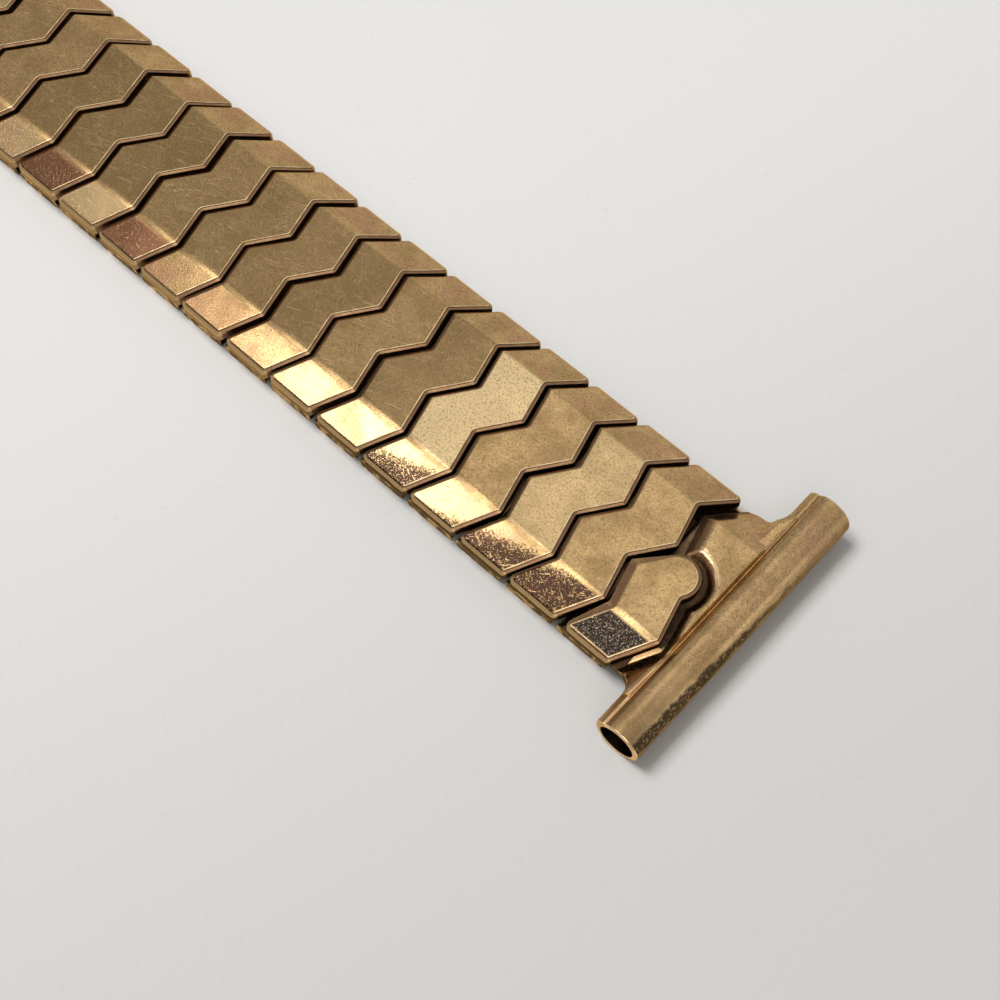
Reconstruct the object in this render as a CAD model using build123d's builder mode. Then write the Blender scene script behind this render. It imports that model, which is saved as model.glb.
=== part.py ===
from build123d import *
import os

# Expansion watch band laid out flat and closed up, millimetres, +Z up.
# X runs along the band, Y across it, and the wrist side rests on Z = 0.
# The origin is the middle of the band's footprint. End A is at +X.

# The row of links
top_link_count = 28
pitch = 3.75
stretch_per_link = 1.5

# Flattened sleeves of the upper and the lower row
sleeve_gap = 0.4
sleeve_height = 0.88
sleeve_wall = 0.15
sleeve_edge_radius = 0.3
sleeve_past_fold = 0.05
row_gap = 0.22
saddle_half_width = 0.55
saddle_end_inset = 0.35

# Pressed top shell: flat middle, sloping wings, stepped front and rear edges
half_width = 6.2
fold_half_width = 3.8
inner_half_width = 1.15
wing_step = 1.56
back_step = 0.74
middle_step = 1.62
wing_drop = 1.0
rim_depth = 0.75
rim_clearance = 0.27
shell_gap = 0.3
shell_sheet = 0.25
corner_radius = 0.2

# Open tray that carries on each end of a lower sleeve
tray_inset = 0.2
tray_end_wall = 0.15
tray_lip_below_leg = 0.15

# Wire staples that join the two rows
wire_radius = 0.21
leg_hold = 1.5
leg_end_clearance = 0.05
web_gap = 0.05
staple_bend_radius = 0.25
running_clearance = 0.02

# Leaf spring inside each sleeve
leaf_thickness = 0.08
leaf_side_clearance = 0.22
leaf_end_inset = 0.1
leaf_bow_inset = 0.15

# End piece: pressed plate with a rolled tube for the watch's spring bar
tube_length = 18.0
tube_outer_radius = 1.4
tube_wall = 0.3
tube_axis_past_cap = 1.525
tube_end_chamfer = 0.1
seam_offset = 0.53
seam_width = 0.26
seam_depth = 0.12
plate_side_inset = 0.2
plate_rear_inset = 0.15
plate_rise_below_roof = 0.28
plate_base_below_roof = 0.98
plate_sleeve_clearance = 0.1
neck_overlap = 0.05
neck_radius = 1.0

# Half-width cap on the end piece, with its round tab
cap_rear_gap = 0.25
cap_tab_radius = 1.3
cap_tab_place = 0.45
recess_margin = 0.25
recess_flare_angle = 30

# Cutters run past what they cut by this much
overrun = 1.0

# Worked-out sizes of the shells and the two rows
half_depth = (pitch - shell_gap) / 2
middle_shift = middle_step / 2
fold_shift = middle_shift - back_step
tip_shift = fold_shift + wing_step
wing_slope = wing_drop / (half_width - fold_half_width)
sleeve_width = pitch - sleeve_gap
sleeve_half_length = fold_half_width + sleeve_past_fold
saddle_half_length = sleeve_half_length - saddle_end_inset
upper_row_z = sleeve_height + row_gap
band_height = upper_row_z + sleeve_height + rim_clearance + rim_depth
shell_underside = band_height - shell_sheet
tray_half_length = half_width - tray_inset

# Worked-out sizes of the staples and the leaf springs
leg_seat = sleeve_wall + running_clearance + wire_radius
upper_leg_z = upper_row_z + leg_seat
lower_leg_z = sleeve_height - leg_seat
leg_inner = sleeve_half_length - leg_hold
web_y = sleeve_half_length + web_gap + wire_radius
leg_limit = sleeve_width / 2 - sleeve_wall - wire_radius - leg_end_clearance
hinge_leg_x = pitch / 4
slide_leg_top_x = -leg_limit
slide_leg_foot_x = -pitch / 2 - (stretch_per_link - leg_limit)
leaf_half_width = sleeve_width / 2 - sleeve_wall - leaf_side_clearance
leaf_half_length = sleeve_half_length - leaf_end_inset
leaf_bow_half_length = leg_inner - leaf_bow_inset
leaf_seat = leg_seat + wire_radius + running_clearance
leaf_bow = leaf_seat - sleeve_wall - running_clearance

# Worked-out sizes of the end pieces
tube_bore_radius = tube_outer_radius - tube_wall
tube_axis_x = half_depth + tube_axis_past_cap
seam_x = tube_axis_x - seam_offset
seam_z = tube_outer_radius + (tube_outer_radius**2 - seam_offset**2) ** 0.5
neck_start_x = tube_axis_x - tube_outer_radius + neck_overlap - neck_radius
plate_half_width = half_width - plate_side_inset
neck_half_width = plate_half_width + neck_radius
plate_underside = band_height - plate_base_below_roof
reach = half_depth + tip_shift + tube_axis_x + tube_outer_radius

# Stepped edge from the near tip to the far tip: shift along X and place across Y
edge_shifts = [-tip_shift, -fold_shift, -middle_shift, middle_shift, fold_shift, tip_shift]
edge_places = [
    -half_width, -fold_half_width, -inner_half_width,
    inner_half_width, fold_half_width, half_width,
]


def edge_points(along):
    """Corners of a stepped edge, near tip first, that lies this far along X."""
    return [(shift + along, place) for shift, place in zip(edge_shifts, edge_places)]


def roof_points(top_drop, bottom_drop, side):
    """Cross-section in Y and Z between two copies of the shell's roof line."""
    side_drop = wing_slope * (side - fold_half_width)
    top = band_height - top_drop
    bottom = band_height - bottom_drop
    return [
        (-side, top - side_drop), (-fold_half_width, top), (fold_half_width, top),
        (side, top - side_drop), (side, bottom - side_drop), (fold_half_width, bottom),
        (-fold_half_width, bottom), (-side, bottom - side_drop),
    ]


def pressed_shell(outline):
    """Sheet shell with this outline in plan, under the roof line and open below."""
    with BuildPart() as hollow:
        with BuildSketch(Plane.XY):
            add(outline)
            offset(amount=-shell_sheet, kind=Kind.TANGENT, mode=Mode.REPLACE)
        extrude(amount=band_height)
        with BuildSketch(Plane.YZ):
            with BuildLine():
                Polyline(*roof_points(shell_sheet, band_height, half_width), close=True)
            make_face()
        extrude(amount=reach, both=True, mode=Mode.INTERSECT)
    with BuildPart() as pressed:
        with BuildSketch(Plane.XY):
            add(outline)
        extrude(amount=band_height)
        with BuildSketch(Plane.YZ):
            with BuildLine():
                Polyline(*roof_points(0, rim_depth, half_width), close=True)
            make_face()
        extrude(amount=reach, both=True, mode=Mode.INTERSECT)
        add(hollow.part, mode=Mode.SUBTRACT)
    return pressed.part


# Top shell, centred on its link
with BuildSketch(Plane.XY) as shell_outline:
    with BuildLine():
        Polyline(*edge_points(half_depth), *reversed(edge_points(-half_depth)), close=True)
    shell_face = make_face()
    fillet(shell_face.vertices(), radius=corner_radius)

top_shell = pressed_shell(shell_outline.sketch)

# Cap: the near half of a top shell, ending in a round tab
cap_rear_x = -half_depth + cap_rear_gap
middle_run = 2 * inner_half_width
middle_length = (middle_step**2 + middle_run**2) ** 0.5
tab_rear_x = cap_rear_x + middle_step * cap_tab_place / middle_run
tab_centre = (
    tab_rear_x + cap_tab_radius * middle_run / middle_length,
    cap_tab_place - cap_tab_radius * middle_step / middle_length,
)
near_edge_count = 3
with BuildSketch(Plane.XY) as cap_outline:
    with BuildLine():
        Polyline(
            *edge_points(half_depth)[:near_edge_count],
            tab_centre,
            (tab_rear_x, cap_tab_place),
            *reversed(edge_points(cap_rear_x)[:near_edge_count]),
            close=True,
        )
    make_face()
    with Locations(tab_centre):
        Circle(cap_tab_radius)

end_cap = pressed_shell(cap_outline.sketch)


def sleeve_part(base_z, half_length, seat_z):
    """Flattened sleeve open at both ends, with a saddle up to seat_z when that is given."""
    with BuildPart() as sleeve:
        with BuildSketch(Plane.XZ):
            with Locations((0, base_z + sleeve_height / 2)):
                RectangleRounded(sleeve_width, sleeve_height, sleeve_edge_radius)
                RectangleRounded(
                    sleeve_width - 2 * sleeve_wall,
                    sleeve_height - 2 * sleeve_wall,
                    sleeve_edge_radius - sleeve_wall,
                    mode=Mode.SUBTRACT,
                )
        extrude(amount=half_length, both=True)
        if seat_z is not None:
            with BuildSketch(Plane.XY.offset(base_z + sleeve_height)):
                Rectangle(2 * saddle_half_width, 2 * saddle_half_length)
            extrude(amount=seat_z - base_z - sleeve_height)
    return sleeve.part


upper_sleeve = sleeve_part(upper_row_z, sleeve_half_length, shell_underside)
end_sleeve = sleeve_part(upper_row_z, sleeve_half_length, plate_underside)

# Lower sleeve: its ends carry on as open trays under the wings
tray_length = tray_half_length - sleeve_half_length
with BuildPart() as lower_sleeve:
    add(sleeve_part(0, tray_half_length, None))
    with BuildSketch(Plane.XY.offset(lower_leg_z - tray_lip_below_leg)):
        for side in (-1, 1):
            with Locations((0, side * (sleeve_half_length + tray_length / 2))):
                Rectangle(sleeve_width + overrun, tray_length)
    extrude(amount=sleeve_height, mode=Mode.SUBTRACT)
    with BuildSketch(Plane.XZ.offset(-tray_half_length), Plane.XZ.offset(tray_half_length)):
        with Locations((0, sleeve_height / 2)):
            RectangleRounded(sleeve_width, sleeve_height, sleeve_edge_radius)
    extrude(amount=-tray_end_wall, both=True)
    Box(sleeve_width, 2 * tray_half_length, sleeve_height,
        align=(Align.CENTER, Align.CENTER, Align.MIN), mode=Mode.INTERSECT)


def staple_part(top_x, foot_x, side):
    """U-shaped wire staple with a leg in each row and its web just outside the sleeves."""
    corners = [
        (top_x, side * leg_inner, upper_leg_z),
        (top_x, side * web_y, upper_leg_z),
        (foot_x, side * web_y, lower_leg_z),
        (foot_x, side * leg_inner, lower_leg_z),
    ]
    with BuildPart() as staple:
        with BuildLine() as route:
            FilletPolyline(*corners, radius=staple_bend_radius)
        with BuildSketch(Plane(origin=corners[0], z_dir=(0, side, 0))):
            Circle(wire_radius)
        sweep(path=route.wire())
    return staple.part


def leaf_part(seat_z, rise):
    """Bowed leaf spring: flat ends at seat_z on the legs, middle risen by this much."""
    lower_points = [
        (-leaf_half_length, seat_z), (-leaf_bow_half_length, seat_z), (0, seat_z + rise),
        (leaf_bow_half_length, seat_z), (leaf_half_length, seat_z),
    ]
    upper_points = [(place, height + leaf_thickness) for place, height in lower_points]
    with BuildPart() as leaf:
        with BuildSketch(Plane.YZ):
            with BuildLine():
                for points in (lower_points, upper_points):
                    Line(points[0], points[1])
                    ThreePointArc(points[1], points[2], points[3])
                    Line(points[3], points[4])
                Line(lower_points[0], upper_points[0])
                Line(lower_points[-1], upper_points[-1])
            make_face()
        extrude(amount=leaf_half_width, both=True)
    return leaf.part


hinge_staples = [staple_part(hinge_leg_x, hinge_leg_x, side) for side in (-1, 1)]
slide_staples = [staple_part(slide_leg_top_x, slide_leg_foot_x, side) for side in (-1, 1)]
upper_leaf = leaf_part(upper_row_z + leaf_seat, -leaf_bow)
lower_leaf = leaf_part(sleeve_height - leaf_seat - leaf_thickness, leaf_bow)

# Space over the cap's seat that is pressed down into the end plate
with BuildPart() as recess:
    with BuildSketch(Plane.XY):
        add(cap_outline.sketch)
        offset(amount=recess_margin)
    extrude(amount=band_height)
    with BuildSketch(Plane.XY.offset(band_height - rim_depth)):
        add(cap_outline.sketch)
        offset(amount=recess_margin)
    extrude(amount=rim_depth, taper=-recess_flare_angle)
    with BuildSketch(Plane.YZ):
        with BuildLine():
            Polyline(*roof_points(-overrun, rim_depth, half_width + overrun), close=True)
        make_face()
    extrude(amount=reach, both=True, mode=Mode.INTERSECT)

# End piece of end A, centred on its link: plate, tube, seam groove and bore in one
with BuildPart() as end_piece:
    with BuildSketch(Plane.XY):
        with BuildLine():
            Polyline(
                *edge_points(-half_depth + plate_rear_inset),
                (seam_x, half_width),
                (seam_x, -half_width),
                close=True,
            )
        make_face()
        Rectangle(2 * reach, 2 * plate_half_width, mode=Mode.INTERSECT)
        with Locations((sleeve_width / 2 - pitch + plate_sleeve_clearance, 0)):
            Rectangle(reach, 2 * (sleeve_half_length + plate_sleeve_clearance),
                      align=(Align.MAX, Align.CENTER), mode=Mode.SUBTRACT)
        for side in (-1, 1):
            with Locations((neck_start_x, side * (plate_half_width + neck_radius / 2))):
                Rectangle(seam_x - neck_start_x, neck_radius, align=(Align.MIN, Align.CENTER))
            with Locations((neck_start_x, side * neck_half_width)):
                Circle(neck_radius, mode=Mode.SUBTRACT)
    extrude(amount=band_height)
    with BuildSketch(Plane.YZ):
        with BuildLine():
            Polyline(*roof_points(plate_rise_below_roof, plate_base_below_roof, neck_half_width),
                     close=True)
        make_face()
    extrude(amount=reach, both=True, mode=Mode.INTERSECT)
    add(recess.part, mode=Mode.SUBTRACT)
    with BuildSketch(Plane.XZ):
        with Locations((tube_axis_x, tube_outer_radius)):
            Circle(tube_outer_radius)
    extrude(amount=tube_length / 2, both=True)
    tube_rims = end_piece.edges().filter_by(GeomType.CIRCLE).group_by(Axis.Y)
    chamfer(tube_rims[0] + tube_rims[-1], length=tube_end_chamfer)
    with BuildSketch(Plane.XZ):
        with Locations((tube_axis_x, tube_outer_radius)):
            Circle(tube_bore_radius)
    extrude(amount=tube_length / 2, both=True, mode=Mode.SUBTRACT)
    with BuildSketch(Plane.XZ):
        with BuildLine():
            Polyline((seam_x - seam_width / 2, band_height), (seam_x + seam_width / 2, band_height),
                     (seam_x + seam_width / 2, seam_z), (seam_x, seam_z - seam_depth),
                     (seam_x - seam_width / 2, seam_z), close=True)
        make_face()
    extrude(amount=tube_length / 2, both=True, mode=Mode.SUBTRACT)


def placed(parts, link_x, turned):
    """Copies of the parts at a link's place, turned half round for end B."""
    turn = Rot(0, 0, 180) if turned else Rot(0, 0, 0)
    return [Pos(link_x, 0, 0) * turn * part for part in parts]


def link_x(number):
    """Place along X of a top link, counted from end A."""
    return ((top_link_count + 1) / 2 - number) * pitch


def write_node(label, parts):
    """Write the separate solids of one node to its own file."""
    node = Compound([solid for part in parts for solid in part.solids()])
    node.label = label
    export_step(node, f"parts/{label}.step")


os.makedirs("parts", exist_ok=True)

end_x = link_x(1)
for end_name, place, turned in (("a", end_x, False), ("b", -end_x, True)):
    write_node(f"end_piece_{end_name}", placed([end_piece.part], place, turned))
    write_node(f"end_cap_{end_name}", placed([end_cap], place, turned))

write_node("end_sleeve_a", placed([end_sleeve, upper_leaf, *slide_staples], end_x, False))
write_node("end_sleeve_b", placed([end_sleeve, upper_leaf, *hinge_staples], -end_x, False))

top_link_parts = [top_shell, upper_sleeve, upper_leaf, *hinge_staples, *slide_staples]
for number in range(2, top_link_count):
    write_node(f"top_link_{number:02d}", placed(top_link_parts, link_x(number), False))

for number in range(1, top_link_count):
    place = link_x(number) - pitch / 2
    parts = [lower_sleeve.part, lower_leaf]
    write_node(f"lower_link_{number:02d}", placed(parts, place, False))
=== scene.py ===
"""Expansion watch band in worn gold, dressed for its studio picture.

Every shell, sleeve, staple and leaf spring of the band is built here at its real
size, in metres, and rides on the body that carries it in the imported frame.
"""

import logging
import math
from dataclasses import dataclass, field
from enum import Enum, IntEnum
from functools import cached_property

import bmesh
import bpy
from mathutils import Matrix, Vector


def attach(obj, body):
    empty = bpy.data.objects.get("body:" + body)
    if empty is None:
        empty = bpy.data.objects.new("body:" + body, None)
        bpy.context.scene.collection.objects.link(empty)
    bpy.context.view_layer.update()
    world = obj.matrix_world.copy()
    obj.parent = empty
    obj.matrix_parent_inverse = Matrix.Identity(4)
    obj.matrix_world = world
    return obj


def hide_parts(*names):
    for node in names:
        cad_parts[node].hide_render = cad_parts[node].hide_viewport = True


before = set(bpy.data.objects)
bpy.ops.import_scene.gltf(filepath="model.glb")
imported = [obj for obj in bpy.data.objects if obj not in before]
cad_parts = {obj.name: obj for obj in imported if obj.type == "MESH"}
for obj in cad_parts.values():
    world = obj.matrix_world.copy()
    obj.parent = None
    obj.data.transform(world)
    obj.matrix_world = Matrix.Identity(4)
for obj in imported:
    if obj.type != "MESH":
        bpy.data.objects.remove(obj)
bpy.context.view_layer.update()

log = logging.getLogger("band")
MM = 0.001
PER_MM = 1000.0
WHOLE_TURN = 2 * math.pi
TOUCH = 1e-7
GLANCING_GOLD = (0.86, 0.68, 0.46, 1)

# A plan is an outline seen from above, and levels are where a smooth step starts and ends
Plan = list[tuple[float, float]]
Colour = tuple[float, float, float, float]
Levels = tuple[float, float]


# Names and sizes that the whole script shares

class Slot(Enum):
    """Material slots of the record."""

    GOLD = "worn_gold"
    SLEEVE = "sleeve_metal"


class ShellPart(IntEnum):
    """Parts of a shell, by their places in SHELL_FINISHES."""

    FACE = 0
    EDGE = 1
    WALL = 2
    CREASE = 3


class PlatePart(IntEnum):
    """Parts of an end piece, by their places in PLATE_FINISHES."""

    FACE = 0
    EDGE = 1
    SEAT = 2
    TUBE = 3
    BORE = 4


class End(Enum):
    """The two ends of the band: the sign along X, and the name of the end's body."""

    A = (1, "a")
    B = (-1, "b")

    @property
    def sign(self) -> int:
        """Plus one for the end at +X."""
        return self.value[0]

    @property
    def letter(self) -> str:
        """Letter that ends the names of this end's pieces."""
        return self.value[1]

    @property
    def body(self) -> str:
        """Body of the frame that carries this end's pieces."""
        return f"end_{self.letter}"


@dataclass(frozen=True)
class BandSizes:
    """Sizes that the whole band shares, in metres."""

    top_link_count: int = 28
    pitch: float = 3.75 * MM
    half_width: float = 6.2 * MM
    fold_half_width: float = 3.8 * MM
    inner_half_width: float = 1.15 * MM
    wing_step: float = 1.56 * MM
    back_step: float = 0.74 * MM
    middle_step: float = 1.62 * MM
    wing_drop: float = 1.0 * MM
    rim_depth: float = 0.75 * MM
    shell_gap: float = 0.3 * MM
    shell_sheet: float = 0.25 * MM
    band_height: float = 3.0 * MM
    sleeve_gap: float = 0.4 * MM
    sleeve_height: float = 0.88 * MM
    sleeve_wall: float = 0.15 * MM
    row_gap: float = 0.22 * MM
    sleeve_half_length: float = 3.85 * MM
    leaf_thickness: float = 0.08 * MM
    tube_axis_x: float = 3.25 * MM
    tube_radius: float = 1.4 * MM

    @property
    def half_depth(self) -> float:
        """Half of a shell's depth along the band."""
        return (self.pitch - self.shell_gap) / 2

    @property
    def slope(self) -> float:
        """Fall of a wing for each unit across."""
        return self.wing_drop / (self.half_width - self.fold_half_width)

    @property
    def upper_row_z(self) -> float:
        """Underside of the upper row of sleeves."""
        return self.sleeve_height + self.row_gap

    @property
    def sleeve_width(self) -> float:
        """Width of a sleeve along the band."""
        return self.pitch - self.sleeve_gap

    def stepped_edge(self, along: float) -> Plan:
        """Corners of a shell's stepped edge, near tip first.

        Args:
            along: distance of the edge from the link's centre along X.

        Returns:
            Six points in plan.
        """
        middle = self.middle_step / 2
        fold = middle - self.back_step
        tip = fold + self.wing_step
        shifts = (-tip, -fold, -middle, middle, fold, tip)
        places = (-self.half_width, -self.fold_half_width, -self.inner_half_width,
                  self.inner_half_width, self.fold_half_width, self.half_width)
        return [(shift + along, place) for shift, place in zip(shifts, places)]

    def wing_fall(self, place: float) -> float:
        """How far the roof has fallen at this place across the band."""
        return self.slope * max(0.0, abs(place) - self.fold_half_width)

    def link_x(self, number: int) -> float:
        """Place along X of a top link, counted from end A."""
        return ((self.top_link_count + 1) / 2 - number) * self.pitch


SIZES = BandSizes()


# Node trees

@dataclass(frozen=True)
class Grain:
    """Noise that a finish shows: features in a millimetre, octaves, and their strength."""

    scale: float
    detail: float = 2.0
    roughness: float = 0.5


@dataclass(frozen=True)
class ScratchSet:
    """Fine straight scratches in one direction.

    The angle is in degrees in plan, length and width are in millimetres, the seed makes
    one set unlike another, and a streak shows where its noise is above the level.
    """

    angle: float
    length: float
    width: float
    seed: float
    level: float


class NodePad:
    """A node tree, written as short calls."""

    def __init__(self, tree: bpy.types.NodeTree) -> None:
        """Start with this tree, emptied."""
        self.tree = tree
        self.tree.nodes.clear()

    def add(self, kind: str, inputs: dict | None = None, **settings: object) -> bpy.types.Node:
        """Add a node.

        Args:
            kind: the node's type.
            inputs: socket name or number to a value, or to the output that feeds it.
            settings: properties of the node.

        Returns:
            The new node.
        """
        node = self.tree.nodes.new(kind)
        for name, value in settings.items():
            setattr(node, name, value)
        for key, value in (inputs or {}).items():
            if isinstance(value, bpy.types.NodeSocket):
                self.tree.links.new(value, node.inputs[key])
            else:
                node.inputs[key].default_value = value
        return node

    def math(self, operation: str, *values: object) -> bpy.types.NodeSocket:
        """Arithmetic on sockets and numbers.

        Args:
            operation: name of the sum, as Blender writes it.
            values: its terms.

        Returns:
            Socket of the result.
        """
        node = self.add("ShaderNodeMath", dict(enumerate(values)), operation=operation)
        return node.outputs[0]

    def product(self, *values: object) -> bpy.types.NodeSocket:
        """Product of sockets and numbers.

        Args:
            values: its factors, two or more.

        Returns:
            Socket of the product.
        """
        result = values[0]
        for value in values[1:]:
            result = self.math("MULTIPLY", result, value)
        return result

    def blend(self, share: object, first: object, second: object) -> bpy.types.NodeSocket:
        """Colour that goes from the first to the second as the share goes from 0 to 1."""
        node = self.add("ShaderNodeMix", {0: share, 6: first, 7: second}, data_type="RGBA")
        return node.outputs[2]

    def step(self, value: object, low: float, high: float,
             out_low: float = 0.0, out_high: float = 1.0) -> bpy.types.NodeSocket:
        """Smooth step of a value between two levels.

        Args:
            value: what is compared with the levels.
            low: level where the step starts.
            high: level where it ends.
            out_low: result below the step.
            out_high: result above it.

        Returns:
            Socket of the result.
        """
        node = self.add(
            "ShaderNodeMapRange",
            {0: value, 1: low, 2: high, 3: out_low, 4: out_high},
            interpolation_type="SMOOTHSTEP",
        )
        return node.outputs[0]

    def noise(self, vector: object, scale: float, detail: float = 2.0,
              roughness: float = 0.5) -> bpy.types.NodeSocket:
        """Noise from 0 to 1.

        Args:
            vector: place, in millimetres.
            scale: features in a millimetre.
            detail: finer octaves.
            roughness: strength of each octave next to the one before.

        Returns:
            Socket of the noise.
        """
        node = self.add("ShaderNodeTexNoise", {"Vector": vector, "Scale": scale,
                                               "Detail": detail, "Roughness": roughness})
        return node.outputs["Fac"]

    @cached_property
    def place(self) -> bpy.types.NodeSocket:
        """The point on the piece, in millimetres."""
        coordinates = self.add("ShaderNodeTexCoord").outputs["Object"]
        return self.add("ShaderNodeMapping", {"Vector": coordinates,
                                              "Scale": (PER_MM,) * 3}).outputs[0]

    @cached_property
    def parts(self) -> bpy.types.NodeOutputs:
        """X, Y and Z of the point, in millimetres."""
        return self.add("ShaderNodeSeparateXYZ", {0: self.place}).outputs

    @cached_property
    def wear_and_shading(self) -> bpy.types.NodeOutputs:
        """The piece's wear and painted shade: middle, near wing (negative paints a highlight), and
        scuffs on that wing.
        """
        vector = self.add("ShaderNodeAttribute", attribute_name="wear_and_shading").outputs["Vector"]
        return self.add("ShaderNodeSeparateXYZ", {0: vector}).outputs

    @cached_property
    def across(self) -> bpy.types.NodeSocket:
        """Distance from the band's middle line, in millimetres."""
        return self.math("ABSOLUTE", self.parts[1])

    @cached_property
    def depth(self) -> bpy.types.NodeSocket:
        """Depth below the roof line of the shells, in millimetres."""
        beyond = self.math("SUBTRACT", self.across, SIZES.fold_half_width / MM)
        fall = self.math("MULTIPLY", self.math("MAXIMUM", beyond, 0.0), SIZES.slope)
        roof = self.math("SUBTRACT", SIZES.band_height / MM, fall)
        return self.math("SUBTRACT", roof, self.parts[2])

    def grain(self, grain: Grain) -> bpy.types.NodeSocket:
        """Noise of this grain over the piece."""
        return self.noise(self.place, grain.scale, grain.detail, grain.roughness)

    def scratched(self, sets: tuple[ScratchSet, ...]) -> bpy.types.NodeSocket:
        """Mask that is 1 along the scratches of all these sets."""
        return self.most([self._scratches(kind) for kind in sets])

    def _scratches(self, kind: ScratchSet, bend_scale: float = 0.12, bend: float = 2.4,
                   sharpness: float = 0.05) -> bpy.types.NodeSocket:
        """Mask of one set of scratches.

        Args:
            kind: the set.
            bend_scale: bends of a scratch in a millimetre.
            bend: how far it bends, in millimetres.
            sharpness: rise of the noise over a scratch's edge.

        Returns:
            Socket of the mask.
        """
        bends = self.add("ShaderNodeTexNoise", {"Vector": self.place, "Scale": bend_scale})
        bent = self.add("ShaderNodeVectorMath", {0: bends.outputs["Color"], 1: (bend,) * 3},
                        operation="MULTIPLY").outputs[0]
        moved = self.add("ShaderNodeVectorMath", {0: self.place, 1: bent},
                         operation="ADD").outputs[0]
        turned = self.add(
            "ShaderNodeMapping",
            {"Vector": moved, "Location": (kind.seed, -kind.seed, kind.seed),
             "Rotation": (0.0, 0.0, math.radians(kind.angle)),
             "Scale": (kind.length, kind.width, kind.width)},
            vector_type="TEXTURE",
        ).outputs[0]
        return self.step(self.noise(turned, 1.0, 1.0), kind.level, kind.level + sharpness)

    def most(self, masks: list[bpy.types.NodeSocket]) -> bpy.types.NodeSocket:
        """The largest of several masks.

        Args:
            masks: sockets of the masks.

        Returns:
            Socket of the largest.
        """
        mask = masks[0]
        for other in masks[1:]:
            mask = self.math("MAXIMUM", mask, other)
        return mask

    def bump(self, height: object, distance: float, normal: object = None,
             strength: float = 1.0) -> bpy.types.NodeSocket:
        """Normal that follows a height.

        Args:
            height: height from 0 to 1.
            distance: how far out a height of 1 stands, in metres.
            normal: normal that the height is added to, or None for the surface's own.
            strength: share of the height that shows.

        Returns:
            Socket of the new normal.
        """
        inputs = {"Height": height, "Distance": distance, "Strength": strength}
        if normal is not None:
            inputs["Normal"] = normal
        return self.add("ShaderNodeBump", inputs).outputs[0]

    def surface(self, colour: object, roughness: object, normal: object,
                metallic: float = 0.0, tint: Colour = (1, 1, 1, 1)) -> None:
        """Close the tree with a surface.

        Args:
            colour: base colour.
            roughness: roughness from 0 to 1.
            normal: socket of the normal.
            metallic: 1 for metal, 0 for other surfaces.
            tint: a metal's colour at a glancing angle.
        """
        shader = self.add("ShaderNodeBsdfPrincipled",
                          {"Base Color": colour, "Roughness": roughness,
                           "Metallic": metallic, "Normal": normal, "Specular Tint": tint})
        self.add("ShaderNodeOutputMaterial", {"Surface": shader.outputs[0]})

    def metal(self, colour: object, roughness: object, normal: object) -> None:
        """Close the tree with a warm metal surface."""
        self.surface(colour, roughness, normal, 1.0, GLANCING_GOLD)


# Finishes

@dataclass(frozen=True)
class Finish:
    """A finish; each kind writes its own node tree."""

    name: str

    def build(self, pad: NodePad) -> None:
        """Write the node tree."""
        raise NotImplementedError

    def material(self) -> bpy.types.Material:
        """The finish as a material, made once.

        Returns:
            The material, the same one at every call.
        """
        made = bpy.data.materials.get(self.name)
        if made is None:
            made = bpy.data.materials.new(self.name)
            made.use_nodes = True
            self.build(NodePad(made.node_tree))
        return made


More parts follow.
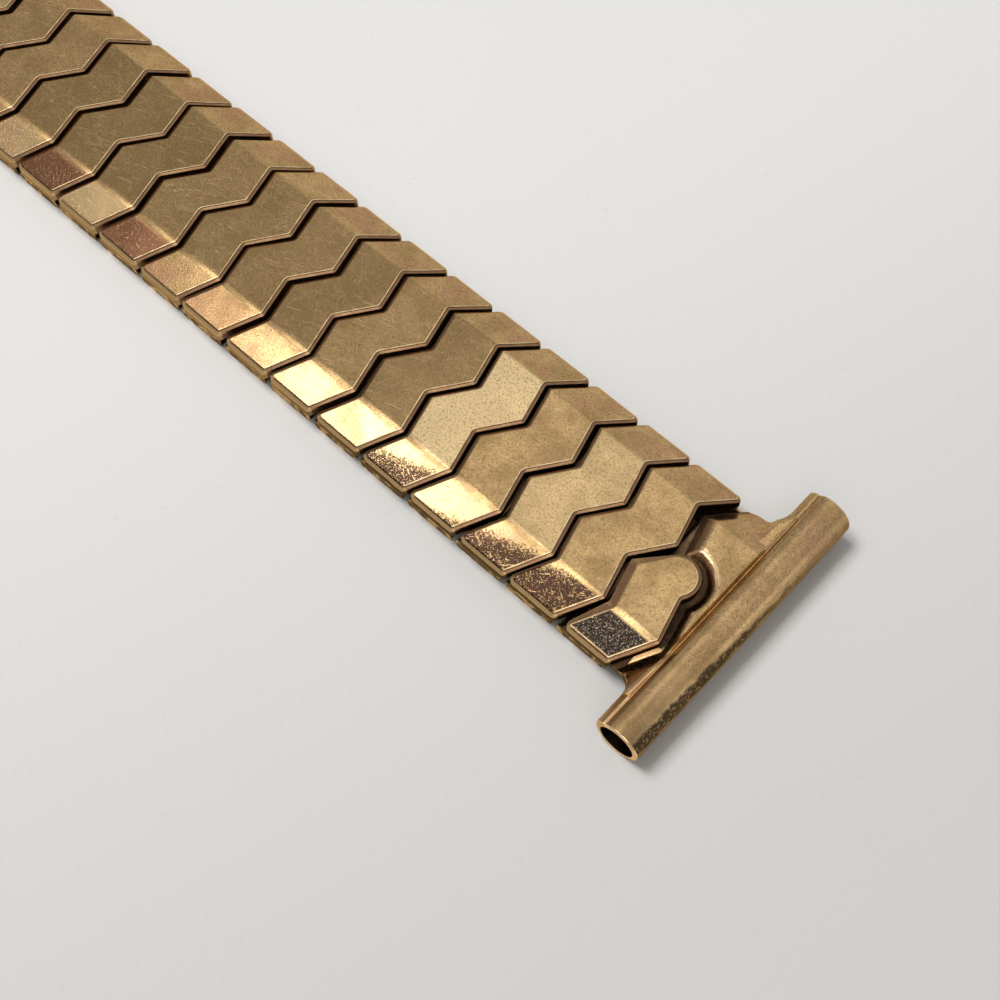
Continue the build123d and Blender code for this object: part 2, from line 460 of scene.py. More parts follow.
@dataclass(frozen=True)
class WornGold(Finish):
    """Gold-filled sheet with satin wear, specks, and scratches from years on a wrist.

    Places and insets are in millimetres, and levels are those of the noise.
    """

    light: Colour = (0.75, 0.505, 0.235, 1)
    deep: Colour = (0.49, 0.32, 0.14, 1)
    rosy: Colour = (0.62, 0.325, 0.195, 1)
    speck: Colour = (0.22, 0.13, 0.06, 1)
    scratched: Colour = (0.9, 0.68, 0.38, 1)
    # Black of the cap's ash pits, and on the tube of the pitted strip and its painted shade.
    tarnished_and_shaded: Colour = (0.03, 0.023, 0.018, 1)
    ashen: Colour = (0.27, 0.225, 0.18, 1)
    # Dark brown of the near wings' scuffs, partly a painted dark reflection.
    scuffed_and_shaded: Colour = (0.055, 0.03, 0.02, 1)
    # pale paints a highlight; dull and copper darken a middle and a near wing, partly wear and
    # partly painted shade.
    pale: Colour = (1.0, 0.755, 0.41, 1)
    dull: Colour = (0.25, 0.165, 0.075, 1)
    copper: Colour = (0.26, 0.125, 0.07, 1)
    patches: Grain = Grain(0.45, 4.0, 0.65)
    blushes: Grain = Grain(0.5)
    grain: Grain = Grain(7.5, 3.0, 0.7)
    fine: Grain = Grain(11.0, 2.0, 0.6)
    dents: Grain = Grain(0.55, 1.0)
    ash_grain: Grain = Grain(11.0, 3.0, 0.7)
    hairlines: tuple[ScratchSet, ...] = (
        ScratchSet(24, 3.4, 0.09, 3.1, 0.67), ScratchSet(78, 2.4, 0.07, 7.7, 0.68),
        ScratchSet(131, 3.0, 0.08, 13.3, 0.67), ScratchSet(163, 1.8, 0.06, 23.9, 0.68))
    scuff_lines: tuple[ScratchSet, ...] = (
        ScratchSet(38, 3.0, 0.055, 41.3, 0.62), ScratchSet(97, 2.4, 0.05, 53.9, 0.64),
        ScratchSet(152, 3.2, 0.055, 67.1, 0.62))
    wing_places: Levels = (3.9, 4.4)
    near_wing_places: Levels = (-4.3, -3.8)
    middle_places: Levels = (3.7, 3.95)
    deep_levels: Levels = (0.38, 0.64)
    blush_levels: Levels = (0.42, 0.62)
    fine_levels: Levels = (0.38, 0.62)
    speck_levels: Levels = (0.48, 0.66)
    wing_blush: float = 0.6
    middle_blush: float = 0.12
    fine_share: float = 0.6
    pale_share: float = 0.85
    speck_share: float = 0.6
    near_wing_speck_loss: float = 0.55
    scratch_share: float = 0.3
    ash_share: float = 0.8
    satin: float = 0.30
    polish: float = 0.18
    satin_levels: Levels = (0.3, 0.7)
    satin_less: float = 0.03
    satin_more: float = 0.05
    fine_roughness: float = 0.12
    tarnish_roughness: float = 0.2
    grain_height: float = 0.0036 * MM
    scratch_height: float = 0.003 * MM
    dent_height: float = 0.012 * MM
    pit_depth: float = 0.006 * MM
    edge_shift: float = -0.07
    scuff_shade_places: Levels = (-4.1, -3.9)
    scuff_shade_levels: Levels = (1.15, 1.35)
    scuff_shade_strength_levels: Levels = (0.02, 0.1)
    scuff_shade_down: float = 0.3
    scuff_shade_forward: float = 0.38
    scuff_shade_unevenness: float = 0.7
    scuff_shade_gain: float = 1.1
    scuff_line_share: float = 0.92
    cap_wear: float = 1.0
    ash_rear_inset: float = 0.4
    ash_front_inset: float = 0.32
    ash_edge: float = 0.12
    ash_fold_places: Levels = (-4.22, -4.06)
    ash_tip_places: Levels = (-5.98, -5.88)
    ash_levels: Levels = (0.5, 0.62)

    def build(self, pad: NodePad) -> None:
        """Layer the gold's patches, wear with its painted light and shade, scratches, and tarnish,
        with painted shade on the tube.

        Args:
            pad: the tree.
        """
        patches, grain, fine = pad.grain(self.patches), pad.grain(self.grain), pad.grain(self.fine)
        wing = pad.step(pad.across, *self.wing_places)
        scratch = pad.scratched(self.hairlines)
        scuffs_and_shade = self.scuffs_and_shade(pad, grain)
        ashes, tarnish_and_shade = self.tarnish_and_shade(pad)
        colour = self.base_colour(pad, patches, fine, wing)
        colour = self.aged_and_shaded_colour(pad, colour, grain)
        colour = pad.blend(pad.product(scratch, self.scratch_share), colour, self.scratched)
        # Near wings darkened by scuffs and by a painted dark reflection.
        colour = pad.blend(scuffs_and_shade, colour, self.scuffed_and_shaded)
        colour = pad.blend(pad.product(ashes, self.ash_share), colour, self.ashen)
        colour = pad.blend(tarnish_and_shade, colour, self.tarnished_and_shaded)
        normal = pad.bump(pad.grain(self.dents), self.dent_height)
        normal = pad.bump(grain, self.grain_height, normal)
        normal = pad.bump(scratch, -self.scratch_height, normal)
        normal = pad.bump(pad.math("MAXIMUM", tarnish_and_shade, scuffs_and_shade), -self.pit_depth, normal)
        worn = pad.step(patches, *self.satin_levels, self.satin - self.satin_less,
                        self.satin + self.satin_more)
        polished = pad.product(wing, self.satin - self.polish)
        uneven = pad.product(pad.math("SUBTRACT", fine, 0.5), self.fine_roughness)
        roughness = pad.math("ADD", pad.math("SUBTRACT", worn, polished), uneven)
        roughness = pad.math("ADD", roughness, pad.product(tarnish_and_shade, self.tarnish_roughness))
        pad.metal(colour, roughness, normal)

    def base_colour(self, pad: NodePad, patches: bpy.types.NodeSocket,
                    fine: bpy.types.NodeSocket, wing: bpy.types.NodeSocket) -> bpy.types.NodeSocket:
        """Gold in lighter, deeper and rosier patches.

        Args:
            pad: the tree.
            patches: noise of the patches.
            fine: noise of the finest grain.
            wing: mask of both wings.

        Returns:
            Socket of the colour.
        """
        colour = pad.blend(pad.step(patches, *self.deep_levels), self.light, self.deep)
        strength = pad.math("ADD", pad.product(wing, self.wing_blush), self.middle_blush)
        blush = pad.product(pad.step(pad.grain(self.blushes), *self.blush_levels), strength)
        colour = pad.blend(blush, colour, self.rosy)
        shaded = pad.product(pad.step(fine, *self.fine_levels), self.fine_share)
        return pad.blend(shaded, colour, self.deep)

    def aged_and_shaded_colour(self, pad: NodePad, colour: bpy.types.NodeSocket,
                    grain: bpy.types.NodeSocket) -> bpy.types.NodeSocket:
        """Colour once the piece's wear and painted shade have dulled it, or a painted highlight
        paled it, with dark specks.

        Args:
            pad: the tree.
            colour: colour before.
            grain: noise of the specks.

        Returns:
            Socket of the new colour.
        """
        near_wing = pad.step(pad.parts[1], *self.near_wing_places, 1.0, 0.0)
        middle = pad.step(pad.across, *self.middle_places, 1.0, 0.0)
        # Per-link darkening is partly wear and partly painted shade; negative shares paint a pale
        # highlight.
        worn_and_shaded_parts = ((pad.wear_and_shading[0], middle, self.dull), (pad.wear_and_shading[1], near_wing, self.copper))
        for share, place, darker in worn_and_shaded_parts:
            colour = pad.blend(pad.product(share, place), colour, darker)
        for share, place, _ in worn_and_shaded_parts:
            colour = pad.blend(pad.product(share, -self.pale_share, place), colour, self.pale)
        shown = pad.math("SUBTRACT", self.speck_share,
                         pad.product(near_wing, self.near_wing_speck_loss))
        return pad.blend(pad.product(pad.step(grain, *self.speck_levels), shown), colour,
                         self.speck)

    def along_wing(self, pad: NodePad) -> bpy.types.NodeSocket:
        """Place along the band, skewed so that a near wing's edges have one value each.

        Args:
            pad: the tree.

        Returns:
            Socket of the place, in millimetres.
        """
        drop = pad.product(pad.math("ADD", pad.parts[1], SIZES.fold_half_width / MM),
                           SIZES.wing_step / (SIZES.half_width - SIZES.fold_half_width))
        return pad.math("SUBTRACT", pad.parts[0], drop)

    def scuffs_and_shade(self, pad: NodePad, grain: bpy.types.NodeSocket) -> bpy.types.NodeSocket:
        """Dark brown low on the near wings, partly scuffing and partly a painted dark reflection,
        with bright scratches through it.

        Args:
            pad: the tree.
            grain: noise that makes the dark area's border uneven.

        Returns:
            Socket of the mask.
        """
        start = (SIZES.link_x(1) - SIZES.pitch / 2) / MM + self.edge_shift
        along = pad.math("SUBTRACT", self.along_wing(pad), start)
        forward = pad.math("FRACT", pad.product(along, MM / SIZES.pitch))
        down = pad.math("SUBTRACT", self.scuff_shade_places[1], pad.parts[1])
        reach = pad.math("ADD", pad.product(down, self.scuff_shade_down),
                         pad.product(forward, self.scuff_shade_forward))
        uneven = pad.product(pad.math("SUBTRACT", grain, 0.5), self.scuff_shade_unevenness)
        level = pad.math("ADD", pad.math("ADD", reach, uneven),
                         pad.product(pad.wear_and_shading[2], self.scuff_shade_gain))
        lines = pad.product(pad.scratched(self.scuff_lines), self.scuff_line_share)
        return pad.product(pad.step(level, *self.scuff_shade_levels),
                           pad.step(pad.wear_and_shading[2], *self.scuff_shade_strength_levels),
                           pad.step(pad.parts[1], *self.scuff_shade_places, 1.0, 0.0),
                           pad.math("SUBTRACT", 1.0, lines))

    def tarnish_and_shade(self, pad: NodePad) -> tuple[object, object]:
        """Ash-grey wear on the near wing of the end's cap.

        Args:
            pad: the tree.

        Returns:
            Its area, and the black pits in it.
        """
        along = self.along_wing(pad)
        rear = (SIZES.link_x(1) - SIZES.half_depth) / MM + self.ash_rear_inset
        front = (SIZES.link_x(1) + SIZES.half_depth) / MM - self.ash_front_inset
        area = pad.product(pad.step(along, rear, rear + self.ash_edge),
                           pad.step(along, front, front + self.ash_edge, 1.0, 0.0),
                           pad.step(pad.parts[1], *self.ash_fold_places, 1.0, 0.0),
                           pad.step(pad.parts[1], *self.ash_tip_places), self.cap_wear)
        pits = pad.step(pad.grain(self.ash_grain), *self.ash_levels, 1.0, 0.0)
        return area, pad.product(pits, area)


@dataclass(frozen=True)
class TubeGold(WornGold):
    """Worn gold of the tube, with a dark pitted strip low on its outer side, painted shade below
    it, and painted shade on its outer half towards the near end.

    Angles are in radians round the tube from its top, and places in millimetres.
    """

    strip_start: float = math.radians(40)
    strip_end: float = math.radians(82)
    strip_shift: float = math.radians(20)
    strip_start_edge: float = 0.1
    strip_end_edge: float = 0.08
    shift_places: Levels = (-8.0, 2.0)
    wander_grain: Grain = Grain(0.8, 3.0)
    wander: float = 0.5
    thin_places: Levels = (-1.0, 7.0)
    thin_share: float = 0.4
    strip_grain: Grain = Grain(6.0, 3.0, 0.65)
    strip_levels: Levels = (0.5, 0.64)
    strip_least: float = 0.4
    # Painted shade low on the outer side, and on the outer half towards the near end.
    underside_shade_angles: Levels = (1.35, 1.9)
    underside_shade_share: float = 0.45
    near_end_shade_places: Levels = (-8.0, -3.5)
    near_end_shade_angles: Levels = (-0.05, 0.15)
    near_end_shade_share: float = 0.3
    strip_share: float = 0.9

    def tarnish_and_shade(self, pad: NodePad) -> tuple[object, object]:
        """Pitted strip of the tube, with painted shade below it and on its outer half towards the
        near end.

        Args:
            pad: the tree.

        Returns:
            Nothing ash-grey, and the mask of the strip with painted shade below it and towards the
            near end.
        """
        angle = self.angle(pad)
        lower = pad.step(pad.parts[1], *self.shift_places, 0.0, self.strip_shift)
        strip = pad.product(
            pad.step(pad.math("SUBTRACT", angle, lower), self.strip_start - self.strip_start_edge,
                     self.strip_start + self.strip_start_edge),
            pad.step(angle, self.strip_end - self.strip_end_edge,
                     self.strip_end + self.strip_end_edge, 1.0, 0.0),
            pad.step(pad.parts[1], *self.thin_places, 1.0, self.thin_share),
            pad.step(pad.grain(self.strip_grain), *self.strip_levels, 1.0, self.strip_least))
        # Painted shade low on the tube's outer side, where it faces the shaded table, and towards
        # its near end.
        underside_shade = pad.step(angle, *self.underside_shade_angles, 0.0, self.underside_shade_share)
        near_end_shade = pad.product(pad.step(pad.parts[1], *self.near_end_shade_places, self.near_end_shade_share, 0.0),
                             pad.step(angle, *self.near_end_shade_angles))
        return 0.0, pad.product(pad.most([strip, underside_shade, near_end_shade]), self.strip_share)

    def angle(self, pad: NodePad) -> bpy.types.NodeSocket:
        """Angle round the tube from its top, away from the band, wandering a little.

        Args:
            pad: the tree.

        Returns:
            Socket of the angle, in radians.
        """
        axis = (SIZES.link_x(1) + SIZES.tube_axis_x) / MM
        out = pad.math("SUBTRACT", pad.math("ABSOLUTE", pad.parts[0]), axis)
        up = pad.math("SUBTRACT", pad.parts[2], SIZES.tube_radius / MM)
        uneven = pad.math("SUBTRACT", pad.grain(self.wander_grain), 0.5)
        return pad.math("ADD", pad.math("ARCTAN2", out, up), pad.product(uneven, self.wander))


@dataclass(frozen=True)
class PolishedEdgeHighlight(Finish):
    """Edge rubbed bright by wear, painted brighter still as its highlight."""

    bright: Colour = (0.95, 0.72, 0.42, 1)
    dull: Colour = (0.72, 0.48, 0.24, 1)
    wear_and_shading: Grain = Grain(1.4, 3.0, 0.65)
    nicks: Grain = Grain(9.0)
    dull_levels: Levels = (0.4, 0.62)
    rough_levels: Levels = (0.3, 0.7)
    smoothest: float = 0.15
    roughest: float = 0.3
    nick_height: float = 0.003 * MM

    def build(self, pad: NodePad) -> None:
        """Mottle the bright metal and nick it.

        Args:
            pad: the tree.
        """
        worn = pad.grain(self.wear_and_shading)
        colour = pad.blend(pad.step(worn, *self.dull_levels), self.bright, self.dull)
        roughness = pad.step(worn, *self.rough_levels, self.smoothest, self.roughest)
        pad.metal(colour, roughness, pad.bump(pad.grain(self.nicks), self.nick_height))


@dataclass(frozen=True)
class GrimeAndShadeWall(Finish):
    """Turned-down rim: rosy where the gold has worn thin, lighter gold where it lies open as
    painted light, and black further down with painted shade and grimy specks.

    Depths below the roof and places are in millimetres.
    """

    rosy: Colour = (0.34, 0.185, 0.10, 1)
    gold: Colour = (0.42, 0.275, 0.13, 1)
    # Lighter gold of the walls that lie open: painted light.
    lit_open_gold: Colour = (0.62, 0.41, 0.20, 1)
    # Black of the painted shade down the walls and of grimy specks.
    shade_and_dirt: Colour = (0.012, 0.008, 0.006, 1)
    stains: Grain = Grain(1.1, 3.0, 0.6)
    grain: Grain = Grain(8.0, 3.0, 0.65)
    gold_levels: Levels = (0.42, 0.75)
    shade_start_depth: float = 0.18
    shade_full_depth: float = 0.36
    open_shade_start_depth: float = 0.24
    open_shade_full_depth: float = 0.38
    waviness: float = 0.25
    open_places: Levels = (5.98, 6.04)
    open_share: float = 0.8
    less_shade_places: Levels = (22.0, 34.0)
    less_shade_share: float = 0.5
    speck_levels: Levels = (0.55, 0.72)
    speck_share: float = 0.4
    smoothest: float = 0.26
    roughest: float = 0.75
    grain_height: float = 0.004 * MM

    def build(self, pad: NodePad) -> None:
        """Paint the shade thicker down the wall, less so where the wall is open to view, and add
        grimy specks.

        Args:
            pad: the tree.
        """
        stain, grain = pad.grain(self.stains), pad.grain(self.grain)
        open_side = pad.step(pad.across, *self.open_places)
        colour = pad.blend(pad.step(stain, *self.gold_levels), self.rosy, self.gold)
        colour = pad.blend(open_side, colour, self.lit_open_gold)
        wave = pad.product(pad.math("SUBTRACT", stain, 0.5), self.waviness)
        depth = pad.math("ADD", pad.depth, wave)
        # Painted shade thickening down the wall, less where the wall lies open to view.
        hidden_shade = pad.product(pad.step(depth, self.shade_start_depth, self.shade_full_depth),
                                  pad.math("SUBTRACT", 1.0, open_side))
        open_shade = pad.product(pad.step(depth, self.open_shade_start_depth, self.open_shade_full_depth),
                                open_side, self.open_share)
        shade_and_dirt = pad.product(pad.math("MAXIMUM", hidden_shade, open_shade),
                           pad.step(pad.parts[0], *self.less_shade_places, self.less_shade_share, 1.0))
        specks = pad.product(pad.step(grain, *self.speck_levels), self.speck_share)
        shade_and_dirt = pad.math("MAXIMUM", shade_and_dirt, specks)
        roughness = pad.step(shade_and_dirt, 0.0, 1.0, self.smoothest, self.roughest)
        pad.metal(pad.blend(shade_and_dirt, colour, self.shade_and_dirt), roughness,
                  pad.bump(grain, self.grain_height))


@dataclass(frozen=True)
class DullMetal(Finish):
    """Plain metal of the inner pieces, dull and stained, gilt in spots near the edges; its dark
    tones are partly painted shade, and wholly so in the crease and the bore.
    """

    # These defaults are the sleeves' own colours, darkened partly as painted shade inside the band.
    clean: Colour = (0.27, 0.17, 0.09, 1)
    stained_and_shaded: Colour = (0.09, 0.058, 0.036, 1)
    pitted: Colour = (0.05, 0.035, 0.025, 1)
    gilt: Colour = (0.75, 0.52, 0.26, 1)
    stains: Grain = Grain(0.9, 4.0, 0.62)
    pits: Grain = Grain(7.0, 3.0, 0.7)
    gilt_spots: Grain = Grain(1.5, 3.0)
    stain_level: float = 0.5
    stain_edge: float = 0.14
    stain_share: float = 0.85
    pit_levels: Levels = (0.58, 0.72)
    pit_share: float = 0.6
    gilt_levels: Levels = (0.5, 0.56)
    gilt_places: Levels = (5.86, 5.94)
    gilt_share: float = 0.0
    brushed_scale: tuple[float, float, float] = (0.05, 1.6, 0.05)
    roughness: float = 0.42
    brushed_roughness: float = 0.14
    brushed_height: float = 0.004 * MM
    pit_depth: float = 0.003 * MM

    def build(self, pad: NodePad) -> None:
        """Brush the metal, stain and shade it, pit it, and gild its spots.

        Args:
            pad: the tree.
        """
        lines = pad.add("ShaderNodeMapping", {"Vector": pad.place, "Scale": self.brushed_scale},
                        vector_type="TEXTURE").outputs[0]
        brushed, pits = pad.noise(lines, 1.0), pad.grain(self.pits)
        stain = pad.step(pad.grain(self.stains), self.stain_level - self.stain_edge,
                         self.stain_level + self.stain_edge)
        colour = pad.blend(pad.product(stain, self.stain_share), self.clean, self.stained_and_shaded)
        colour = pad.blend(pad.product(pad.step(pits, *self.pit_levels), self.pit_share), colour,
                           self.pitted)
        gilding = pad.product(pad.step(pad.grain(self.gilt_spots), *self.gilt_levels),
                              pad.step(pad.across, *self.gilt_places, 0.0, self.gilt_share))
        uneven = pad.product(pad.math("SUBTRACT", brushed, 0.5), self.brushed_roughness)
        normal = pad.bump(brushed, self.brushed_height)
        pad.metal(pad.blend(gilding, colour, self.gilt),
                  pad.math("ADD", uneven, self.roughness),
                  pad.bump(pits, -self.pit_depth, normal))


GOLD = WornGold("worn_gold_face")
PLATE = WornGold("worn_gold_plate", cap_wear=0.0)
# Bright edge on the shells' front brinks, the plate's seat brink and the tube's end rims: partly
# polish, partly painted highlight.
EDGE = PolishedEdgeHighlight("polished_edge_highlight")
# Rim walls with painted shade down into the gaps.
WALL = GrimeAndShadeWall("grimy_shaded_rim_wall")
# Seat wall with painted shade deeper into the cap's seat.
SEAT_WALL = GrimeAndShadeWall("worn_shaded_seat_wall", rosy=(0.44, 0.25, 0.135, 1), gold=(0.58, 0.385, 0.19, 1),
                      shade_start_depth=0.52, shade_full_depth=0.85)
TUBE = TubeGold("worn_gold_tube", light=(0.68, 0.455, 0.22, 1), deep=(0.47, 0.30, 0.14, 1),
                rosy=(0.58, 0.35, 0.20, 1), polish=0.30)
# Dark ring on the shells' front brinks and near tips: painted shade.
CREASE = DullMetal("shaded_crease", clean=(0.10, 0.06, 0.035, 1), stained_and_shaded=(0.03, 0.02, 0.013, 1))
# Stained metal darkened to near-black as painted shade inside the tube.
BORE = DullMetal("dark_bore", clean=(0.05, 0.035, 0.025, 1), stained_and_shaded=(0.01, 0.007, 0.005, 1))
# Sleeve metal darkened partly as painted shade inside the band.
SLEEVE = DullMetal("dull_sleeve_metal", gilt_share=0.9)
WIRE = DullMetal("drawn_wire", clean=(0.50, 0.40, 0.26, 1), stained_and_shaded=(0.22, 0.17, 0.11, 1),
                 roughness=0.28)
SPRING = DullMetal("spring_steel", clean=(0.36, 0.37, 0.39, 1), stained_and_shaded=(0.12, 0.12, 0.13, 1),
                   stain_level=0.6, brushed_scale=(0.06, 2.2, 0.06), roughness=0.24)

SHELL_FINISHES = (GOLD, EDGE, WALL, CREASE)
PLATE_FINISHES = (PLATE, EDGE, SEAT_WALL, TUBE, BORE)


# Mesh helpers

def new_verts(result: dict) -> list[bmesh.types.BMVert]:
    """Vertices among what an operator made."""
    return [item for item in result["geom"] if isinstance(item, bmesh.types.BMVert)]


def extrude_edges(bm: bmesh.types.BMesh, edges: list, along: Vector) -> list:
    """Pull edges out into faces.

    Args:
        bm: the mesh.
        edges: edges to pull.
        along: how far the new vertices move.

    Returns:
        The new vertices.
    """
    verts = new_verts(bmesh.ops.extrude_edge_only(bm, edges=edges))
    bmesh.ops.translate(bm, vec=along, verts=verts)
    return verts


def extrude_faces(bm: bmesh.types.BMesh, faces: list, along: Vector) -> list:
    """Pull faces out into a closed body.

    Args:
        bm: the mesh.
        faces: faces to pull.
        along: how far the new faces move.

    Returns:
        The new faces at the tip.
    """
    result = bmesh.ops.extrude_face_region(bm, geom=faces)
    bmesh.ops.translate(bm, vec=along, verts=new_verts(result))
    return [item for item in result["geom"] if isinstance(item, bmesh.types.BMFace)]


def cut(bm: bmesh.types.BMesh, point: Vector, normal: Vector) -> None:
    """Cut the whole mesh by a plane, and keep both sides."""
    geom = bm.verts[:] + bm.edges[:] + bm.faces[:]
    bmesh.ops.bisect_plane(bm, geom=geom, dist=1e-8, plane_co=point, plane_no=normal)


def round_edges(bm: bmesh.types.BMesh, edges: list, radius: float, segments: int) -> None:
    """Round some edges of a mesh with this radius, in this many flat steps."""
    bmesh.ops.bevel(bm, geom=edges, offset=radius, offset_type="OFFSET", segments=segments,
                    profile=0.5, affect="EDGES", material=-1, clamp_overlap=True)


def flat_outline(points: Plan, height: float) -> bmesh.types.BMesh:
    """Mesh of one flat face.

    Args:
        points: its corners in plan.
        height: its height.

    Returns:
        The mesh, whose face looks up.
    """
    bm = bmesh.new()
    face = bm.faces.new([bm.verts.new((x, y, height)) for x, y in points])
    face.normal_update()
    if face.normal.z < 0:
        face.normal_flip()
    return bm


def rounded(points: Plan, radius: float, steps: int, least_turn: float,
            room_share: float = 0.45) -> Plan:
    """Outline with its corners turned into arcs.

    Args:
        points: closed outline.
        radius: radius of an arc, smaller where its edges are too short for it.
        steps: straight steps in an arc.
        least_turn: turn below which a corner stays as it is, in radians.
        room_share: share of an edge that an arc may take up.

    Returns:
        The new outline.
    """
    made = []
    for place, point in enumerate(points):
        corner = Vector(point)
        before = corner - Vector(points[place - 1])
        after = Vector(points[(place + 1) % len(points)]) - corner
        room = room_share * min(before.length, after.length)
        before.normalize()
        after.normalize()
        turn = math.atan2(before.x * after.y - before.y * after.x, before.dot(after))
        if abs(turn) < least_turn:
            made.append(point)
            continue
        flatness = math.tan(abs(turn) / 2)
        reach = min(room, radius * flatness)
        start = corner - before * reach
        inward = Vector((-before.y, before.x)) * math.copysign(reach / flatness, turn)
        for step in range(steps + 1):
            arm = -inward
            arm.rotate(Matrix.Rotation(turn * step / steps, 2))
            made.append(tuple(start + inward + arm))
    return made


# Pieces for the frame

@dataclass
class Dresser:
    """Turns meshes into finished pieces of the band and keeps count of them."""

    sharp_angle: float = math.radians(46)
    area_weight: int = 100
    made: list[str] = field(default_factory=list)

    def piece(self, name: str, bm: bmesh.types.BMesh, finishes: tuple[Finish, ...], body: str,
              slot: Slot, replaces: tuple[str, ...] = (),
              wear_and_shading: tuple[float, float, float] = (0.0, 0.0, 0.0)) -> bpy.types.Object:
        """Make an object of a mesh and hand it to the frame.

        Args:
            name: the piece's name.
            bm: its mesh, in place in the frame.
            finishes: its finishes, in the order of the faces' material numbers.
            body: the body that it rides on.
            slot: the record's slot for its finish; not used.
            replaces: CAD nodes that it stands for.
            wear_and_shading: dullness of its middle and near wing, partly wear and partly painted
                shade, negative for a painted highlight, and scuffs on that wing.

        Returns:
            The new object.
        """
        for edge in bm.edges:
            edge.smooth = edge.calc_face_angle(0.0) < self.sharp_angle
        for face in bm.faces:
            face.smooth = True
        if any(wear_and_shading):
            layer = bm.verts.layers.float_vector.new("wear_and_shading")
            for vert in bm.verts:
                vert[layer] = wear_and_shading
        mesh = bpy.data.meshes.new(name)
        bm.to_mesh(mesh)
        bm.free()
        for finish in finishes:
            mesh.materials.append(finish.material())
        piece = bpy.data.objects.new(name, mesh)
        bpy.context.scene.collection.objects.link(piece)
        weighted = piece.modifiers.new("weighted_normals", "WEIGHTED_NORMAL")
        weighted.mode = "FACE_AREA"
        weighted.weight = self.area_weight
        weighted.keep_sharp = True
        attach(piece, body)
        if replaces:
            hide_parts(*replaces)
        self.made.append(name)
        log.info("%s: %d faces on %s", name, len(mesh.polygons), body)
        return piece


def placed(bm: bmesh.types.BMesh, along: float, turned: bool = False) -> bmesh.types.BMesh:
    """Copy of a mesh in its place on the band.

    Args:
        bm: mesh round the origin.
        along: its place along X.
        turned: whether it is turned half round, for the far end.

    Returns:
        The copy.
    """
    copy = bm.copy()
    if turned:
        bmesh.ops.rotate(copy, verts=copy.verts[:], cent=(0, 0, 0),
                         matrix=Matrix.Rotation(math.pi, 3, "Z"))
    bmesh.ops.translate(copy, verts=copy.verts[:], vec=(along, 0, 0))
    return copy


# Links

@dataclass(frozen=True)
class Settling:
    """How each worn shell sits a little askew on its link, how it has worn, and its painted shade
    and highlight.

    Rolls and pitches are in degrees and slides in millimetres, used in turn. Wear with painted
    shade runs from 0 to 1, negative for a painted highlight, and is used in turn from the end's cap
    on.
    """

    rolls: tuple[float, ...] = (0.0, 0.3, -0.4, 0.3, -0.3, 0.1, 0.3, -0.4, 0.0, -0.6, 0.6)
    pitches: tuple[float, ...] = (0.2, -0.3, 0.35, -0.15, 0.4, -0.4, 0.1)
    slides: tuple[float, ...] = (0.0, 0.03, -0.04, 0.02, -0.03)
    drop: float = 0.05 * MM
    # Middle and near-wing values are partly wear and partly painted shade; negative ones paint a
    # highlight.
    middle_wear_and_shading: tuple[float, ...] = (0.0, 0.05, -0.4, 0.08, -1.0, 0.6, 0.35, 0.5, 0.4, 0.33,
                                      0.25, 0.4, 0.4, 0.4)
    wing_wear_and_shading: tuple[float, ...] = (0.0, 0.0, 0.0, -0.25, -0.3, -0.25, -0.25, 0.15, 0.55, 0.3,
                                    1.0, -0.6, 1.0, -0.4)
    # Scuffs on the near wing, with a painted dark reflection.
    wing_scuffs_and_shade: tuple[float, ...] = (0.0, 0.95, 0.72, 0.36, 0.66, 0.18, 0.0, 0.06, 0.15, 0.0,
                                      0.0, 0.0, 0.0, 0.0)

    def settle(self, bm: bmesh.types.BMesh, number: int) -> bmesh.types.BMesh:
        """Copy of a shell, tipped a little and let down a hair.

        Args:
            bm: the shell.
            number: number of its link.

        Returns:
            The copy.
        """
        copy = bm.copy()
        roll = math.radians(self.rolls[number % len(self.rolls)])
        pitch = math.radians(self.pitches[number % len(self.pitches)])
        turn = Matrix.Rotation(roll, 3, "X") @ Matrix.Rotation(pitch, 3, "Y")
        bmesh.ops.rotate(copy, verts=copy.verts[:], cent=(0, 0, SIZES.band_height), matrix=turn)
        slide = self.slides[number % len(self.slides)] * MM
        bmesh.ops.translate(copy, verts=copy.verts[:], vec=(slide, 0, -self.drop))
        return copy

    def wear_and_shading(self, number: int) -> tuple[float, float, float]:
        """Wear and painted shade of a link: its middle (negative is a painted highlight), its near
        wing, and scuffs there.
        """
        place = (number - 1) % len(self.middle_wear_and_shading)
        return self.middle_wear_and_shading[place], self.wing_wear_and_shading[place], self.wing_scuffs_and_shade[place]


